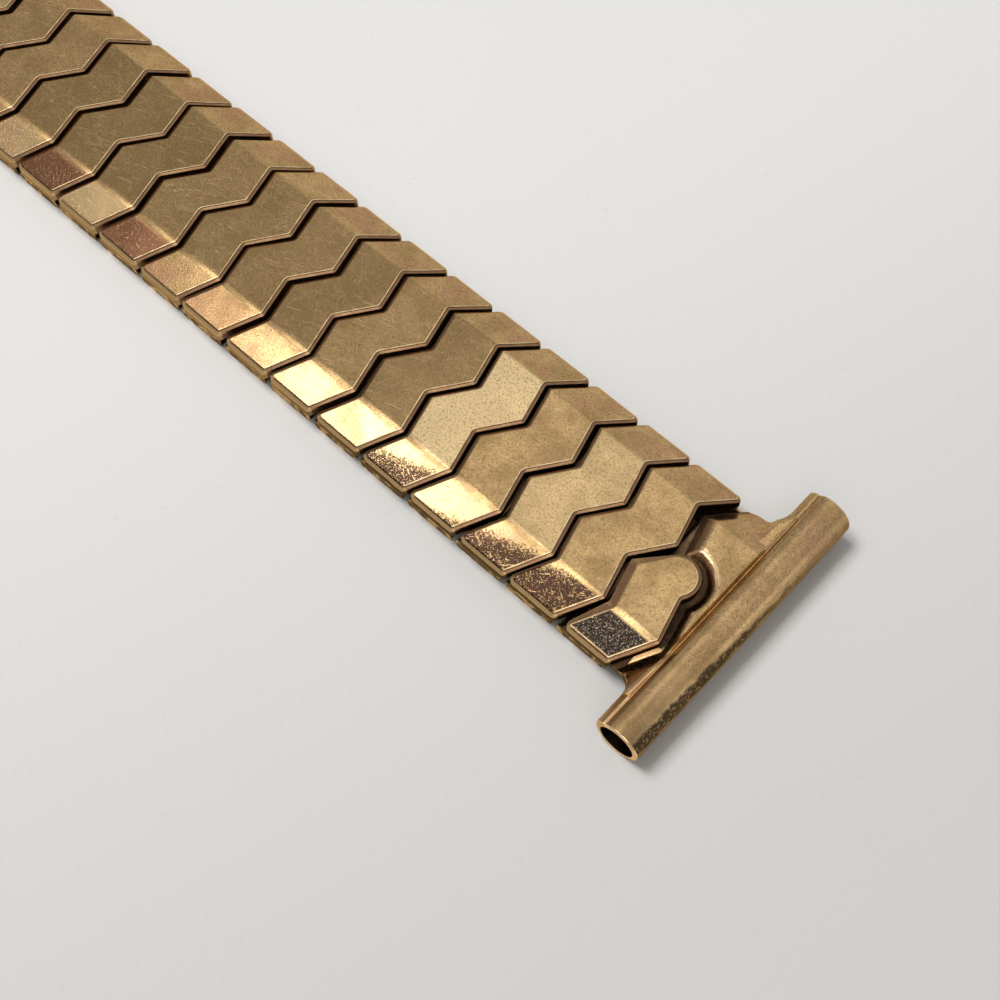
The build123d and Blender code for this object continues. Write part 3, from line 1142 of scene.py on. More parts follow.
@dataclass
class PressedShell:
    """A shell pressed from sheet: flat middle, sloping wings, and a rim turned down."""

    outline: Plan
    rear_flare: float = 0.0
    corner_radius: float = 0.28 * MM
    corner_steps: int = 4
    corner_angle: float = math.radians(25)
    edge_drop: float = 0.115 * MM
    edge_steps: tuple[tuple[float, float], ...] = (
        (0.13 * MM, 0.045 * MM), (0.04 * MM, 0.014 * MM), (0.06 * MM, 0.0))
    near_fold_reach: float = 0.24 * MM
    far_fold_reach: float = 0.12 * MM
    fold_steps: int = 6
    facing: float = 0.02
    side_facing: float = 0.05
    flare_margin: float = 0.15 * MM
    flare_end: float = 0.4 * MM
    flare_end_fade: float = 1.5 * MM
    flare_tip: float = 0.2 * MM
    flare_tip_fade: float = 2.0 * MM

    def mesh(self) -> bmesh.types.BMesh:
        """Press, turn down and thicken the sheet, and number its finishes.

        Returns:
            The shell's mesh, round its link's centre.
        """
        plan = rounded(self.outline, self.corner_radius, self.corner_steps, self.corner_angle)
        bm = flat_outline(plan, SIZES.band_height - self.edge_drop)
        self._press_edge(bm)
        self._flare_rear(bm)
        self._fold_wings(bm)
        rim = [edge for edge in bm.edges if edge.is_boundary]
        roof = set(bm.faces)
        extrude_edges(bm, rim, Vector((0, 0, self.edge_drop - SIZES.rim_depth)))
        self._number_walls(bm, roof)
        bmesh.ops.recalc_face_normals(bm, faces=bm.faces[:])
        if max(bm.faces, key=lambda face: face.calc_area()).normal.z < 0:
            bmesh.ops.reverse_faces(bm, faces=bm.faces[:])
        outside = set(bm.faces)
        bmesh.ops.solidify(bm, geom=bm.faces[:], thickness=SIZES.shell_sheet)
        self._number_walls(bm, outside)
        return bm

    def _number_walls(self, bm: bmesh.types.BMesh, others: set) -> None:
        """Give the new faces the finish of the walls.

        Args:
            bm: the shell.
            others: faces that keep their own.
        """
        for face in bm.faces:
            if face not in others:
                face.material_index = ShellPart.WALL

    def _press_edge(self, bm: bmesh.types.BMesh) -> None:
        """Step the brink up in rings, from its slant to the flat face.

        Args:
            bm: the shell, as one flat face.
        """
        middle = bm.faces[:]
        middle[0].material_index = ShellPart.WALL
        parts = (ShellPart.CREASE, ShellPart.EDGE, ShellPart.FACE)
        for part, (width, depth) in zip(parts, self.edge_steps):
            bmesh.ops.inset_region(bm, faces=middle, thickness=width, use_boundary=True,
                                   use_even_offset=True)
            for face in middle:
                face.material_index = part
                for vert in face.verts:
                    vert.co.z = SIZES.band_height - depth
        bm.normal_update()
        for face in bm.faces:
            if face.material_index in (ShellPart.EDGE, ShellPart.CREASE):
                face.material_index = self._edge_part(face)

    def _edge_part(self, face: bmesh.types.BMFace) -> ShellPart:
        """Part that a brink's face belongs to.

        Args:
            face: face of the brink.

        Returns:
            Its own part in front, where the brink has its painted highlight and painted shade,
            and the plain face of the shell elsewhere.
        """
        part = ShellPart(face.material_index)
        if face.normal.x > self.facing:
            return part
        looks_near = face.normal.y < -self.side_facing and abs(face.normal.x) < self.facing
        if looks_near and part is ShellPart.CREASE:
            return part
        return ShellPart.FACE

    def _flare_rear(self, bm: bmesh.types.BMesh) -> None:
        """Move the foot of the rear slant out, down to the middle's far end.

        Args:
            bm: the shell, with its brink pressed.
        """
        if not self.rear_flare:
            return
        rear = SIZES.stepped_edge(0.0)[:4]
        shift = min(x for x, _ in self.outline) - rear[0][0]
        for vert in bm.verts:
            if not vert.is_boundary:
                continue
            for first, last in zip(rear, rear[1:]):
                if first[1] - TOUCH <= vert.co.y <= last[1]:
                    share = (vert.co.y - first[1]) / (last[1] - first[1])
                    beyond = vert.co.x - shift - first[0] - share * (last[0] - first[0])
                    if abs(beyond) < self.flare_margin:
                        vert.co.x -= self.rear_flare * self._flare_share(vert.co.y)
                    break

    def _flare_share(self, place: float) -> float:
        """Share of the flare, which fades out at both ends of the edge.

        Args:
            place: place across the band.

        Returns:
            The share, from 0 to 1.
        """
        to_middle = (self.flare_end - place) / self.flare_end_fade
        to_tip = (SIZES.half_width - self.flare_tip + place) / self.flare_tip_fade
        return max(0.0, min(1.0, to_middle, to_tip))

    def _fold_wings(self, bm: bmesh.types.BMesh) -> None:
        """Let the wings fall, with a soft fold; the near fold is worn softer.

        Args:
            bm: the shell, still flat but for its brink.
        """
        reaches = {-1: self.near_fold_reach, 1: self.far_fold_reach}
        for side, reach in reaches.items():
            for step in range(self.fold_steps + 1):
                place = SIZES.fold_half_width + reach * (2 * step / self.fold_steps - 1)
                cut(bm, Vector((0, side * place, 0)), Vector((0, side, 0)))
        for vert in bm.verts:
            reach = reaches[1 if vert.co.y > 0 else -1]
            beyond = abs(vert.co.y) - SIZES.fold_half_width
            if abs(beyond) < reach:
                vert.co.z -= SIZES.slope * (beyond + reach) ** 2 / (4 * reach)
            else:
                vert.co.z -= SIZES.wing_fall(vert.co.y)


@dataclass
class Sleeve:
    """Flattened sleeve of one row, open at its ends."""

    base: float
    half_length: float
    edge_radius: float = 0.3 * MM
    edge_segments: int = 4
    saddle_half_width: float = 0.55 * MM
    saddle_end_inset: float = 0.35 * MM
    end_facing: float = 0.5

    def section(self) -> bmesh.types.BMesh:
        """Rounded section of the sleeve at its near end.

        Returns:
            Mesh of one face, standing up.
        """
        bm = bmesh.new()
        bmesh.ops.create_grid(bm, x_segments=1, y_segments=1, size=0.5)
        bmesh.ops.scale(bm, verts=bm.verts[:], vec=(SIZES.sleeve_width, SIZES.sleeve_height, 1))
        bmesh.ops.bevel(bm, geom=bm.verts[:], offset=self.edge_radius, offset_type="OFFSET",
                        segments=self.edge_segments, profile=0.5, affect="VERTICES", material=-1)
        bmesh.ops.rotate(bm, verts=bm.verts[:], matrix=Matrix.Rotation(math.pi / 2, 3, "X"))
        bmesh.ops.translate(bm, verts=bm.verts[:],
                            vec=(0, -self.half_length, self.base + SIZES.sleeve_height / 2))
        return bm

    def saddled_mesh(self, saddle_top: float) -> bmesh.types.BMesh:
        """The sleeve with the saddle that carries its shell.

        Args:
            saddle_top: height that the saddle reaches.

        Returns:
            The mesh, closed and facing outwards.
        """
        bm = self.section()
        along = Vector((0, 2 * self.half_length, 0))
        ends = bm.faces[:]
        extrude_edges(bm, bm.edges[:], along)
        bmesh.ops.delete(bm, geom=ends, context="FACES_ONLY")
        bmesh.ops.recalc_face_normals(bm, faces=bm.faces[:])
        self._face_out(bm)
        bmesh.ops.solidify(bm, geom=bm.faces[:], thickness=SIZES.sleeve_wall)
        low = self.base + SIZES.sleeve_height
        saddle = bmesh.ops.create_cube(bm, size=1.0)["verts"]
        half_length = self.half_length - self.saddle_end_inset
        bmesh.ops.scale(bm, verts=saddle, vec=(2 * self.saddle_half_width, 2 * half_length,
                                               saddle_top - low))
        bmesh.ops.translate(bm, verts=saddle, vec=(0, 0, (saddle_top + low) / 2))
        return bm

    def _face_out(self, bm: bmesh.types.BMesh) -> None:
        """Turn the faces so that the top one looks up.

        Args:
            bm: the sleeve.
        """
        top = max(bm.faces, key=lambda face: face.calc_center_median().z)
        if top.normal.z < 0:
            bmesh.ops.reverse_faces(bm, faces=bm.faces[:])

    def trayed_mesh(self, tray_half_length: float, lip: float) -> bmesh.types.BMesh:
        """The sleeve with open trays beyond its ends, under the wings.

        Args:
            tray_half_length: half of the length over both trays.
            lip: height of the trays' side walls.

        Returns:
            The mesh, closed and facing outwards.
        """
        bm = Sleeve(self.base, tray_half_length).section()
        extrude_faces(bm, bm.faces[:], Vector((0, 2 * tray_half_length, 0)))
        bmesh.ops.recalc_face_normals(bm, faces=bm.faces[:])
        for side in (-1, 1):
            cut(bm, Vector((0, side * self.half_length, 0)), Vector((0, side, 0)))
        cut(bm, Vector((0, 0, lip)), Vector((0, 0, 1)))
        dropped = [
            face for face in bm.faces
            if abs(face.normal.y) < self.end_facing and face.calc_center_median().z > lip
            and abs(face.calc_center_median().y) > self.half_length
        ]
        bmesh.ops.delete(bm, geom=dropped, context="FACES")
        bmesh.ops.solidify(bm, geom=bm.faces[:], thickness=SIZES.sleeve_wall)
        return bm


@dataclass
class WireStaple:
    """Wire bent into a U, with one leg in each row."""

    top_x: float
    foot_x: float
    side: int
    wire_radius: float = 0.21 * MM
    leg_inner: float = 2.35 * MM
    web_place: float = 4.11 * MM
    bend_radius: float = 0.25 * MM
    upper_leg_z: float = 1.48 * MM
    lower_leg_z: float = 0.50 * MM
    wire_sides: int = 10
    bend_steps: int = 4

    def add_to(self, bm: bmesh.types.BMesh) -> None:
        """Sweep the wire along its route.

        Args:
            bm: mesh that the staple is added to.
        """
        across = Vector((0, self.side, 0))
        start = Vector((self.top_x, self.side * self.leg_inner, self.upper_leg_z))
        drop = Vector((self.foot_x - self.top_x, 0, self.lower_leg_z - self.upper_leg_z))
        down = drop.normalized()
        leg = self.web_place - self.bend_radius - self.leg_inner
        ring = bmesh.ops.create_circle(bm, cap_ends=True, radius=self.wire_radius,
                                       segments=self.wire_sides)["verts"]
        bmesh.ops.rotate(bm, verts=ring, matrix=Matrix.Rotation(math.pi / 2, 3, "X"))
        bmesh.ops.translate(bm, verts=ring, vec=start)
        tip = list({face for vert in ring for face in vert.link_faces})
        first = set(bm.faces) - set(tip)
        tip = extrude_faces(bm, tip, across * leg)
        tip = self._bend(bm, tip, start + across * leg + down * self.bend_radius, across, down)
        tip = extrude_faces(bm, tip, down * (drop.length - 2 * self.bend_radius))
        centre = start + across * leg + down * (drop.length - self.bend_radius)
        tip = self._bend(bm, tip, centre, down, -across)
        extrude_faces(bm, tip, -across * leg)
        made = [face for face in bm.faces if face not in first]
        bmesh.ops.recalc_face_normals(bm, faces=made)

    def _bend(self, bm: bmesh.types.BMesh, tip: list, centre: Vector, before: Vector,
              after: Vector) -> list:
        """Turn the wire's tip by a quarter round a centre.

        Args:
            bm: the mesh.
            tip: faces of the wire's tip.
            centre: centre of the bend.
            before: direction of the wire before the bend.
            after: its direction after it.

        Returns:
            Faces of the new tip.
        """
        result = bmesh.ops.spin(bm, geom=tip, cent=centre, axis=before.cross(after),
                                angle=math.pi / 2, steps=self.bend_steps)
        return [item for item in result["geom_last"] if isinstance(item, bmesh.types.BMFace)]


@dataclass
class LeafSpring:
    """Bowed strip of spring steel that presses on the legs in its sleeve."""

    seat: float
    rise: float
    half_width: float = 1.305 * MM
    half_length: float = 3.75 * MM
    bow_half_length: float = 2.2 * MM
    bow_steps: int = 12

    def mesh(self) -> bmesh.types.BMesh:
        """Bow the strip and thicken it.

        Returns:
            The strip's mesh, round its link's centre.
        """
        bm = bmesh.new()
        corners = [(-self.half_width, -self.half_length), (self.half_width, -self.half_length)]
        verts = [bm.verts.new((x, y, self.seat)) for x, y in corners]
        extrude_edges(bm, [bm.edges.new(verts)], Vector((0, 2 * self.half_length, 0)))
        for step in range(self.bow_steps + 1):
            place = self.bow_half_length * (2 * step / self.bow_steps - 1)
            cut(bm, Vector((0, place, 0)), Vector((0, 1, 0)))
        for vert in bm.verts:
            share = min(1.0, abs(vert.co.y) / self.bow_half_length)
            vert.co.z += self.rise * (1 - share * share)
        bmesh.ops.recalc_face_normals(bm, faces=bm.faces[:])
        if bm.faces[:][0].normal.z < 0:
            bmesh.ops.reverse_faces(bm, faces=bm.faces[:])
        bmesh.ops.translate(bm, verts=bm.verts[:], vec=(0, 0, SIZES.leaf_thickness))
        bmesh.ops.solidify(bm, geom=bm.faces[:], thickness=SIZES.leaf_thickness)
        return bm


@dataclass
class LinkWorks:
    """What every link holds inside: sleeves, wire staples and leaf springs."""

    hinge_leg_x: float = 0.9375 * MM
    slide_leg_top_x: float = -1.265 * MM
    slide_leg_foot_x: float = -2.11 * MM
    leaf_seat: float = 0.61 * MM
    leaf_bow: float = 0.44 * MM
    tray_half_length: float = 6.0 * MM
    tray_lip: float = 0.35 * MM

    def staples(self, kinds: tuple[tuple[float, float], ...]) -> bmesh.types.BMesh:
        """A pair of staples of each kind, one on either side of the band.

        Args:
            kinds: place along the band of each kind's top and of its foot.

        Returns:
            Mesh of them all.
        """
        bm = bmesh.new()
        for top_x, foot_x in kinds:
            for side in (-1, 1):
                WireStaple(top_x, foot_x, side).add_to(bm)
        return bm

    @property
    def hinge(self) -> tuple[float, float]:
        """Top and foot place of a hinge staple."""
        return self.hinge_leg_x, self.hinge_leg_x

    @property
    def slide(self) -> tuple[float, float]:
        """Top and foot place of a slide staple."""
        return self.slide_leg_top_x, self.slide_leg_foot_x

    def upper_leaf(self) -> bmesh.types.BMesh:
        """Leaf spring of an upper sleeve, bowed down."""
        return LeafSpring(SIZES.upper_row_z + self.leaf_seat, -self.leaf_bow).mesh()

    def lower_leaf(self) -> bmesh.types.BMesh:
        """Leaf spring of a lower sleeve, bowed up."""
        seat = SIZES.sleeve_height - self.leaf_seat - SIZES.leaf_thickness
        return LeafSpring(seat, self.leaf_bow).mesh()

    def upper_sleeve(self, saddle_top: float) -> bmesh.types.BMesh:
        """Sleeve of the upper row with its saddle."""
        return Sleeve(SIZES.upper_row_z, SIZES.sleeve_half_length).saddled_mesh(saddle_top)

    def lower_sleeve(self) -> bmesh.types.BMesh:
        """Sleeve of the lower row with its trays."""
        sleeve = Sleeve(0.0, SIZES.sleeve_half_length)
        return sleeve.trayed_mesh(self.tray_half_length, self.tray_lip)


# Ends

@dataclass
class EndCap:
    """Half-width cap over the end plate, ending in a round tab."""

    rear_gap: float = 0.25 * MM
    rear_flare: float = 0.3 * MM
    tab_radius: float = 1.3 * MM
    tab_place: float = 0.45 * MM
    tab_steps: int = 16

    @property
    def rear_x(self) -> float:
        """Rear edge of the cap from the link's centre."""
        return -SIZES.half_depth + self.rear_gap

    @property
    def rear_direction(self) -> Vector:
        """Direction of the middle's rear edge, away from the near side."""
        return Vector((SIZES.middle_step, 2 * SIZES.inner_half_width)).normalized()

    @property
    def tab_start(self) -> Vector:
        """Where the rear edge runs into the tab."""
        rise = SIZES.middle_step * self.tab_place / (2 * SIZES.inner_half_width)
        return Vector((self.rear_x + rise, self.tab_place))

    @property
    def tab_centre(self) -> Vector:
        """Centre of the tab."""
        along = self.rear_direction
        return self.tab_start + Vector((along.y, -along.x)) * self.tab_radius

    def tab_arc(self, radius: float, start: float, turn: float) -> Plan:
        """Points of an arc round the tab's centre.

        Args:
            radius: radius of the arc.
            start: angle of its first point, in radians.
            turn: turn to its last point, in radians.

        Returns:
            The points, in plan.
        """
        centre = self.tab_centre
        angles = [start + turn * step / self.tab_steps for step in range(self.tab_steps + 1)]
        return [(centre.x + radius * math.cos(angle), centre.y + radius * math.sin(angle))
                for angle in angles]

    def outline(self) -> Plan:
        """Outline in plan: front edge, tab, rear edge.

        Returns:
            Corners of the cap, from the front edge's near end round the tab to the rear edge's.
        """
        front = SIZES.stepped_edge(SIZES.half_depth)[:3]
        rear = SIZES.stepped_edge(self.rear_x)[:3]
        centre = self.tab_centre
        toward = Vector(front[2]) - centre
        first = math.atan2(toward.y, toward.x)
        last = math.atan2(*(self.tab_start - centre).yx)
        arc = self.tab_arc(self.tab_radius, first, (last - first) % WHOLE_TURN)
        return [*front, *arc[1:], *reversed(rear)]


def joined_solids(first: bmesh.types.BMesh, second: bmesh.types.BMesh,
                  operation: str) -> bmesh.types.BMesh:
    """Union or difference of two closed meshes.

    Args:
        first: mesh that is kept or cut, which is used up.
        second: mesh that is added or cuts, which is used up.
        operation: UNION or DIFFERENCE.

    Returns:
        The new mesh.
    """
    objects = []
    for name, bm in (("first_solid", first), ("second_solid", second)):
        mesh = bpy.data.meshes.new(name)
        bm.to_mesh(mesh)
        bm.free()
        solid = bpy.data.objects.new(name, mesh)
        bpy.context.scene.collection.objects.link(solid)
        objects.append(solid)
    modifier = objects[0].modifiers.new("joined", "BOOLEAN")
    modifier.operation = operation
    modifier.solver = "EXACT"
    modifier.object = objects[1]
    bpy.context.view_layer.update()
    evaluated = objects[0].evaluated_get(bpy.context.evaluated_depsgraph_get())
    result = bmesh.new()
    result.from_mesh(evaluated.to_mesh())
    evaluated.to_mesh_clear()
    for solid in objects:
        mesh = solid.data
        bpy.data.objects.remove(solid)
        bpy.data.meshes.remove(mesh)
    return result


@dataclass
class EndPlate:
    """End piece: pressed plate with a seat for the cap, necks, and a rolled tube."""

    cap: EndCap
    half_width: float = 6.0 * MM
    rear_inset: float = 0.15 * MM
    rise_below_roof: float = 0.28 * MM
    base_below_roof: float = 0.98 * MM
    notch_x: float = -1.975 * MM
    neck_start_x: float = 0.9 * MM
    neck_radius: float = 1.0 * MM
    neck_steps: int = 8
    seat_margin: float = 0.3 * MM
    seat_slope: float = 0.89
    rear_slope: float = 0.63
    shoulder_foot_x: float = 1.25 * MM
    shoulder_x: float = 1.78 * MM
    shoulder_z: float = 2.47 * MM
    crease_x: float = 2.36 * MM
    crease_z: float = 2.40 * MM
    crease_slope: float = 2.4
    softness: float = 0.05 * MM
    plate_end_x: float = 2.42 * MM
    grid: float = 0.1 * MM
    side_radius: float = 0.05 * MM
    round_steps: int = 2
    bore_radius: float = 1.1 * MM
    tube_length: float = 18.0 * MM
    tube_sides: int = 80
    ridge_step: int = 5
    crease_step: int = 9
    crease_radius: float = 1.3 * MM
    shoulder_rise: float = 0.1 * MM
    tube_end_radius: float = 0.08 * MM
    part_margin: float = 0.01 * MM
    shoulder_margin: float = 0.3 * MM
    steep_facing: float = 0.1
    roof_facing: float = 0.4
    wall_facing: float = 0.3
    end_facing: float = 0.9
    bright_depths: tuple[float, float] = (0.006 * MM, 0.07 * MM)
    seat_depth: float = 0.04 * MM
    seat_reach: float = 0.8 * MM

    @property
    def top_z(self) -> float:
        """Height of the plateau."""
        return SIZES.band_height - self.rise_below_roof

    @property
    def seat_z(self) -> float:
        """Height of the cap's seat."""
        return SIZES.band_height - SIZES.rim_depth

    @property
    def underside_z(self) -> float:
        """Height of the plate's underside."""
        return SIZES.band_height - self.base_below_roof

    @cached_property
    def cap_edge(self) -> list[Vector]:
        """Outline of the cap."""
        return [Vector(point) for point in self.cap.outline()]

    @cached_property
    def rear_edge(self) -> Plan:
        """Rear edge from the near side to the far side, cut back over the next sleeve."""
        edge = SIZES.stepped_edge(-SIZES.half_depth + self.rear_inset)
        return [self._on_line(edge[0], edge[1], 1, -self.half_width), edge[1],
                self._on_line(edge[1], edge[2], 0, self.notch_x),
                self._on_line(edge[2], edge[3], 0, self.notch_x), edge[3], edge[4],
                self._on_line(edge[4], edge[5], 1, self.half_width)]

    @staticmethod
    def _on_line(first: tuple[float, float], last: tuple[float, float], axis: int,
                 level: float) -> tuple[float, float]:
        """Point of a line where one coordinate has a certain value.

        Args:
            first: first point of the line.
            last: last point of the line.
            axis: 0 for X and 1 for Y.
            level: value of that coordinate.

        Returns:
            The point.
        """
        share = (level - first[axis]) / (last[axis] - first[axis])
        return tuple(a + share * (b - a) for a, b in zip(first, last))

    @staticmethod
    def _distance(point: Vector, path: list[Vector]) -> float:
        """Shortest distance from a point to a path.

        Args:
            point: the point, in plan.
            path: corners of the path.

        Returns:
            The distance.
        """
        shortest = math.inf
        for first, last in zip(path, path[1:]):
            along = last - first
            share = min(1.0, max(0.0, (point - first).dot(along) / along.length_squared))
            shortest = min(shortest, (point - first - along * share).length)
        return shortest

    def _beyond_cap(self, point: Vector) -> float:
        """Distance from the cap.

        Args:
            point: place in plan, from the first link's centre.

        Returns:
            The distance from the cap's outline, or zero under the cap.
        """
        closed = [*self.cap_edge, self.cap_edge[0]]
        inside = False
        for first, last in zip(closed, closed[1:]):
            if (first.y > point.y) != (last.y > point.y):
                crossing = first.x + (point.y - first.y) * (last.x - first.x) / (last.y - first.y)
                inside ^= crossing > point.x
        return 0.0 if inside else self._distance(point, closed)

    def _soft_least(self, first: float, second: float) -> float:
        """The smaller of two heights, rounded off where they meet."""
        gap = first - second
        return (first + second - math.sqrt(gap * gap + self.softness ** 2)) / 2

    def _surface(self, x: float, y: float) -> float:
        """Height of the pressed surface.

        Args:
            x: place along the band, from the first link's centre.
            y: place across the band.

        Returns:
            The height, which climbs from the cap's seat and from the rear edge to the
            plateau, rises to the tube's shoulder beyond the folds, and dips to the crease.
        """
        point = Vector((x, y))
        fall = SIZES.wing_fall(y)
        level = self.top_z - fall
        share = (x - self.shoulder_foot_x) / (self.shoulder_x - self.shoulder_foot_x)
        share = min(1.0, max(0.0, share))
        level += share * share * (3 - 2 * share) * max(0.0, self.shoulder_z - level)
        from_cap = max(0.0, self._beyond_cap(point) - self.seat_margin)
        level = self._soft_least(level, self.seat_z - fall + self.seat_slope * from_cap)
        if y > self.cap.tab_place:
            rear = [Vector(corner) for corner in self.rear_edge[4:]]
            from_rear = self._distance(point, rear)
            level = self._soft_least(level, self.seat_z - fall + self.rear_slope * from_rear)
        return self._soft_least(level, self.crease_z + self.crease_slope * (self.crease_x - x))

    def _neck(self, side: int) -> Plan:
        """Neck arc from the plate's side out to the tube.

        Args:
            side: 1 for the far side and -1 for the near one.

        Returns:
            Points of the arc.
        """
        centre_y = self.half_width + self.neck_radius
        angles = [math.pi / 2 * step / self.neck_steps for step in range(self.neck_steps + 1)]
        return [(self.neck_start_x + self.neck_radius * math.sin(angle),
                 side * (centre_y - self.neck_radius * math.cos(angle))) for angle in angles]

    def plate_mesh(self) -> bmesh.types.BMesh:
        """Cut the plate's plan into a fine grid, press it, and thicken it.

        Returns:
            Closed mesh of the plate.
        """
        near_neck, far_neck = self._neck(-1), self._neck(1)
        ends = [(self.plate_end_x, near_neck[-1][1]), (self.plate_end_x, far_neck[-1][1])]
        points = [self.rear_edge[0], *near_neck, *ends, *reversed(far_neck),
                  *reversed(self.rear_edge[1:])]
        bm = flat_outline(points, 0.0)
        reach = self.half_width + self.neck_radius
        for step in range(1, math.ceil(2 * reach / self.grid)):
            cut(bm, Vector((0, step * self.grid - reach, 0)), Vector((0, 1, 0)))
        rear_x = min(x for x, _ in points)
        for step in range(1, math.ceil((self.plate_end_x - rear_x) / self.grid)):
            cut(bm, Vector((rear_x + step * self.grid, 0, 0)), Vector((1, 0, 0)))
        for side in (-1, 1):
            cut(bm, Vector((0, side * SIZES.fold_half_width, 0)), Vector((0, side, 0)))
        for vert in bm.verts:
            vert.co.z = self._surface(vert.co.x, vert.co.y)
        result = bmesh.ops.extrude_face_region(bm, geom=bm.faces[:])
        for vert in new_verts(result):
            vert.co.z = self.underside_z - SIZES.wing_fall(vert.co.y)
        bmesh.ops.recalc_face_normals(bm, faces=bm.faces[:])
        side = [edge for edge in bm.edges if self._is_brink(edge)]
        round_edges(bm, side, self.side_radius, self.round_steps)
        return bm

    def _is_brink(self, edge: bmesh.types.BMEdge) -> bool:
        """Whether an edge parts the pressed surface from a side wall."""
        heights = sorted(face.normal.z for face in edge.link_faces)
        return (len(heights) == 2 and abs(heights[0]) < self.steep_facing
                and heights[1] > self.roof_facing)

    def tube_mesh(self) -> bmesh.types.BMesh:
        """Roll the tube, with the crease and the ridge of its seam along the top.

        Returns:
            Closed mesh of the tube, without its bore.
        """
        bm = bmesh.new()
        ring = bmesh.ops.create_circle(bm, cap_ends=True, radius=SIZES.tube_radius,
                                       segments=self.tube_sides)["verts"]
        for vert in ring:
            vert.co *= self._tube_reach(math.atan2(-vert.co.x, vert.co.y)) / SIZES.tube_radius
        bmesh.ops.rotate(bm, verts=ring, matrix=Matrix.Rotation(math.pi / 2, 3, "X"))
        bmesh.ops.translate(bm, verts=ring,
                            vec=(SIZES.tube_axis_x, -self.tube_length / 2, SIZES.tube_radius))
        extrude_faces(bm, bm.faces[:], Vector((0, self.tube_length, 0)))
        bmesh.ops.recalc_face_normals(bm, faces=bm.faces[:])
        ends = [edge for edge in bm.edges
                if abs(abs(edge.verts[0].co.y) + abs(edge.verts[1].co.y) - self.tube_length) < TOUCH
                and edge.verts[0].co.y * edge.verts[1].co.y > 0]
        round_edges(bm, ends, self.tube_end_radius, self.round_steps)
        return bm

    def _tube_reach(self, angle: float) -> float:
        """Radius of the rolled sheet.

        Args:
            angle: angle from the top, towards the band, in radians.

        Returns:
            The radius, which dips to the crease and rises a little beyond it.
        """
        step = WHOLE_TURN / self.tube_sides
        ridge, crease, side = self.ridge_step * step, self.crease_step * step, math.pi / 2
        if ridge < angle < crease + step / 2:
            share = min(1.0, (angle - ridge) / (crease - ridge))
            return SIZES.tube_radius + share * (self.crease_radius - SIZES.tube_radius)
        if crease < angle < side:
            share = (angle - crease) / (side - crease)
            return SIZES.tube_radius + self.shoulder_rise * math.sin(math.pi * share) ** 2
        return SIZES.tube_radius

    def bore_mesh(self) -> bmesh.types.BMesh:
        """Space of the bore, a little longer than the tube.

        Returns:
            Closed mesh of that space.
        """
        bm = bmesh.new()
        bmesh.ops.create_cone(bm, cap_ends=True, segments=self.tube_sides, radius1=self.bore_radius,
                              radius2=self.bore_radius, depth=self.tube_length + MM)
        bmesh.ops.rotate(bm, verts=bm.verts[:], matrix=Matrix.Rotation(math.pi / 2, 3, "X"))
        bmesh.ops.translate(bm, verts=bm.verts[:], vec=(SIZES.tube_axis_x, 0, SIZES.tube_radius))
        return bm

    def mesh(self) -> bmesh.types.BMesh:
        """Join the plate and the tube, open the bore and number the finishes.

        Returns:
            The end piece's mesh, round the first link's centre.
        """
        solid = joined_solids(self.plate_mesh(), self.tube_mesh(), "UNION")
        bm = joined_solids(solid, self.bore_mesh(), "DIFFERENCE")
        for face in bm.faces:
            face.material_index = self._part(face)
        return bm

    def _part(self, face: bmesh.types.BMFace) -> PlatePart:
        """Part of the end piece that a face belongs to.

        Args:
            face: a face of the end piece.

        Returns:
            Its part, by where it lies and looks.
        """
        centre = face.calc_center_median()
        from_axis = math.hypot(centre.x - SIZES.tube_axis_x, centre.z - SIZES.tube_radius)
        at_bore = from_axis < self.bore_radius + self.part_margin
        if at_bore and abs(face.normal.y) < self.end_facing:
            return PlatePart.BORE
        if abs(centre.y) > self.tube_length / 2 - self.tube_end_radius - self.part_margin:
            return PlatePart.EDGE
        beside_plate = abs(centre.y) > self.half_width + self.neck_radius
        if beside_plate or centre.x > self.crease_x + self.part_margin:
            return PlatePart.TUBE
        if face.normal.z < self.wall_facing:
            return PlatePart.SEAT
        rising = centre.x > self.shoulder_foot_x - self.shoulder_margin
        if centre.x > self.shoulder_x or (rising and abs(centre.y) > SIZES.fold_half_width):
            return PlatePart.FACE
        # Faces at the seat's brink take the bright edge as a painted highlight, and faces deeper in
        # the recess take the seat wall with its painted shade.
        depth = SIZES.band_height - SIZES.wing_fall(centre.y) - centre.z - self.rise_below_roof
        least, most = self.bright_depths
        if least < depth < most and self._near_seat(centre):
            return PlatePart.EDGE
        return PlatePart.SEAT if depth > self.seat_depth else PlatePart.FACE

    def _near_seat(self, place: Vector) -> bool:
        """Whether a place of the plate lies beside the cap's seat."""
        return self._beyond_cap(place.xy) < self.seat_margin + self.seat_reach


# The whole band

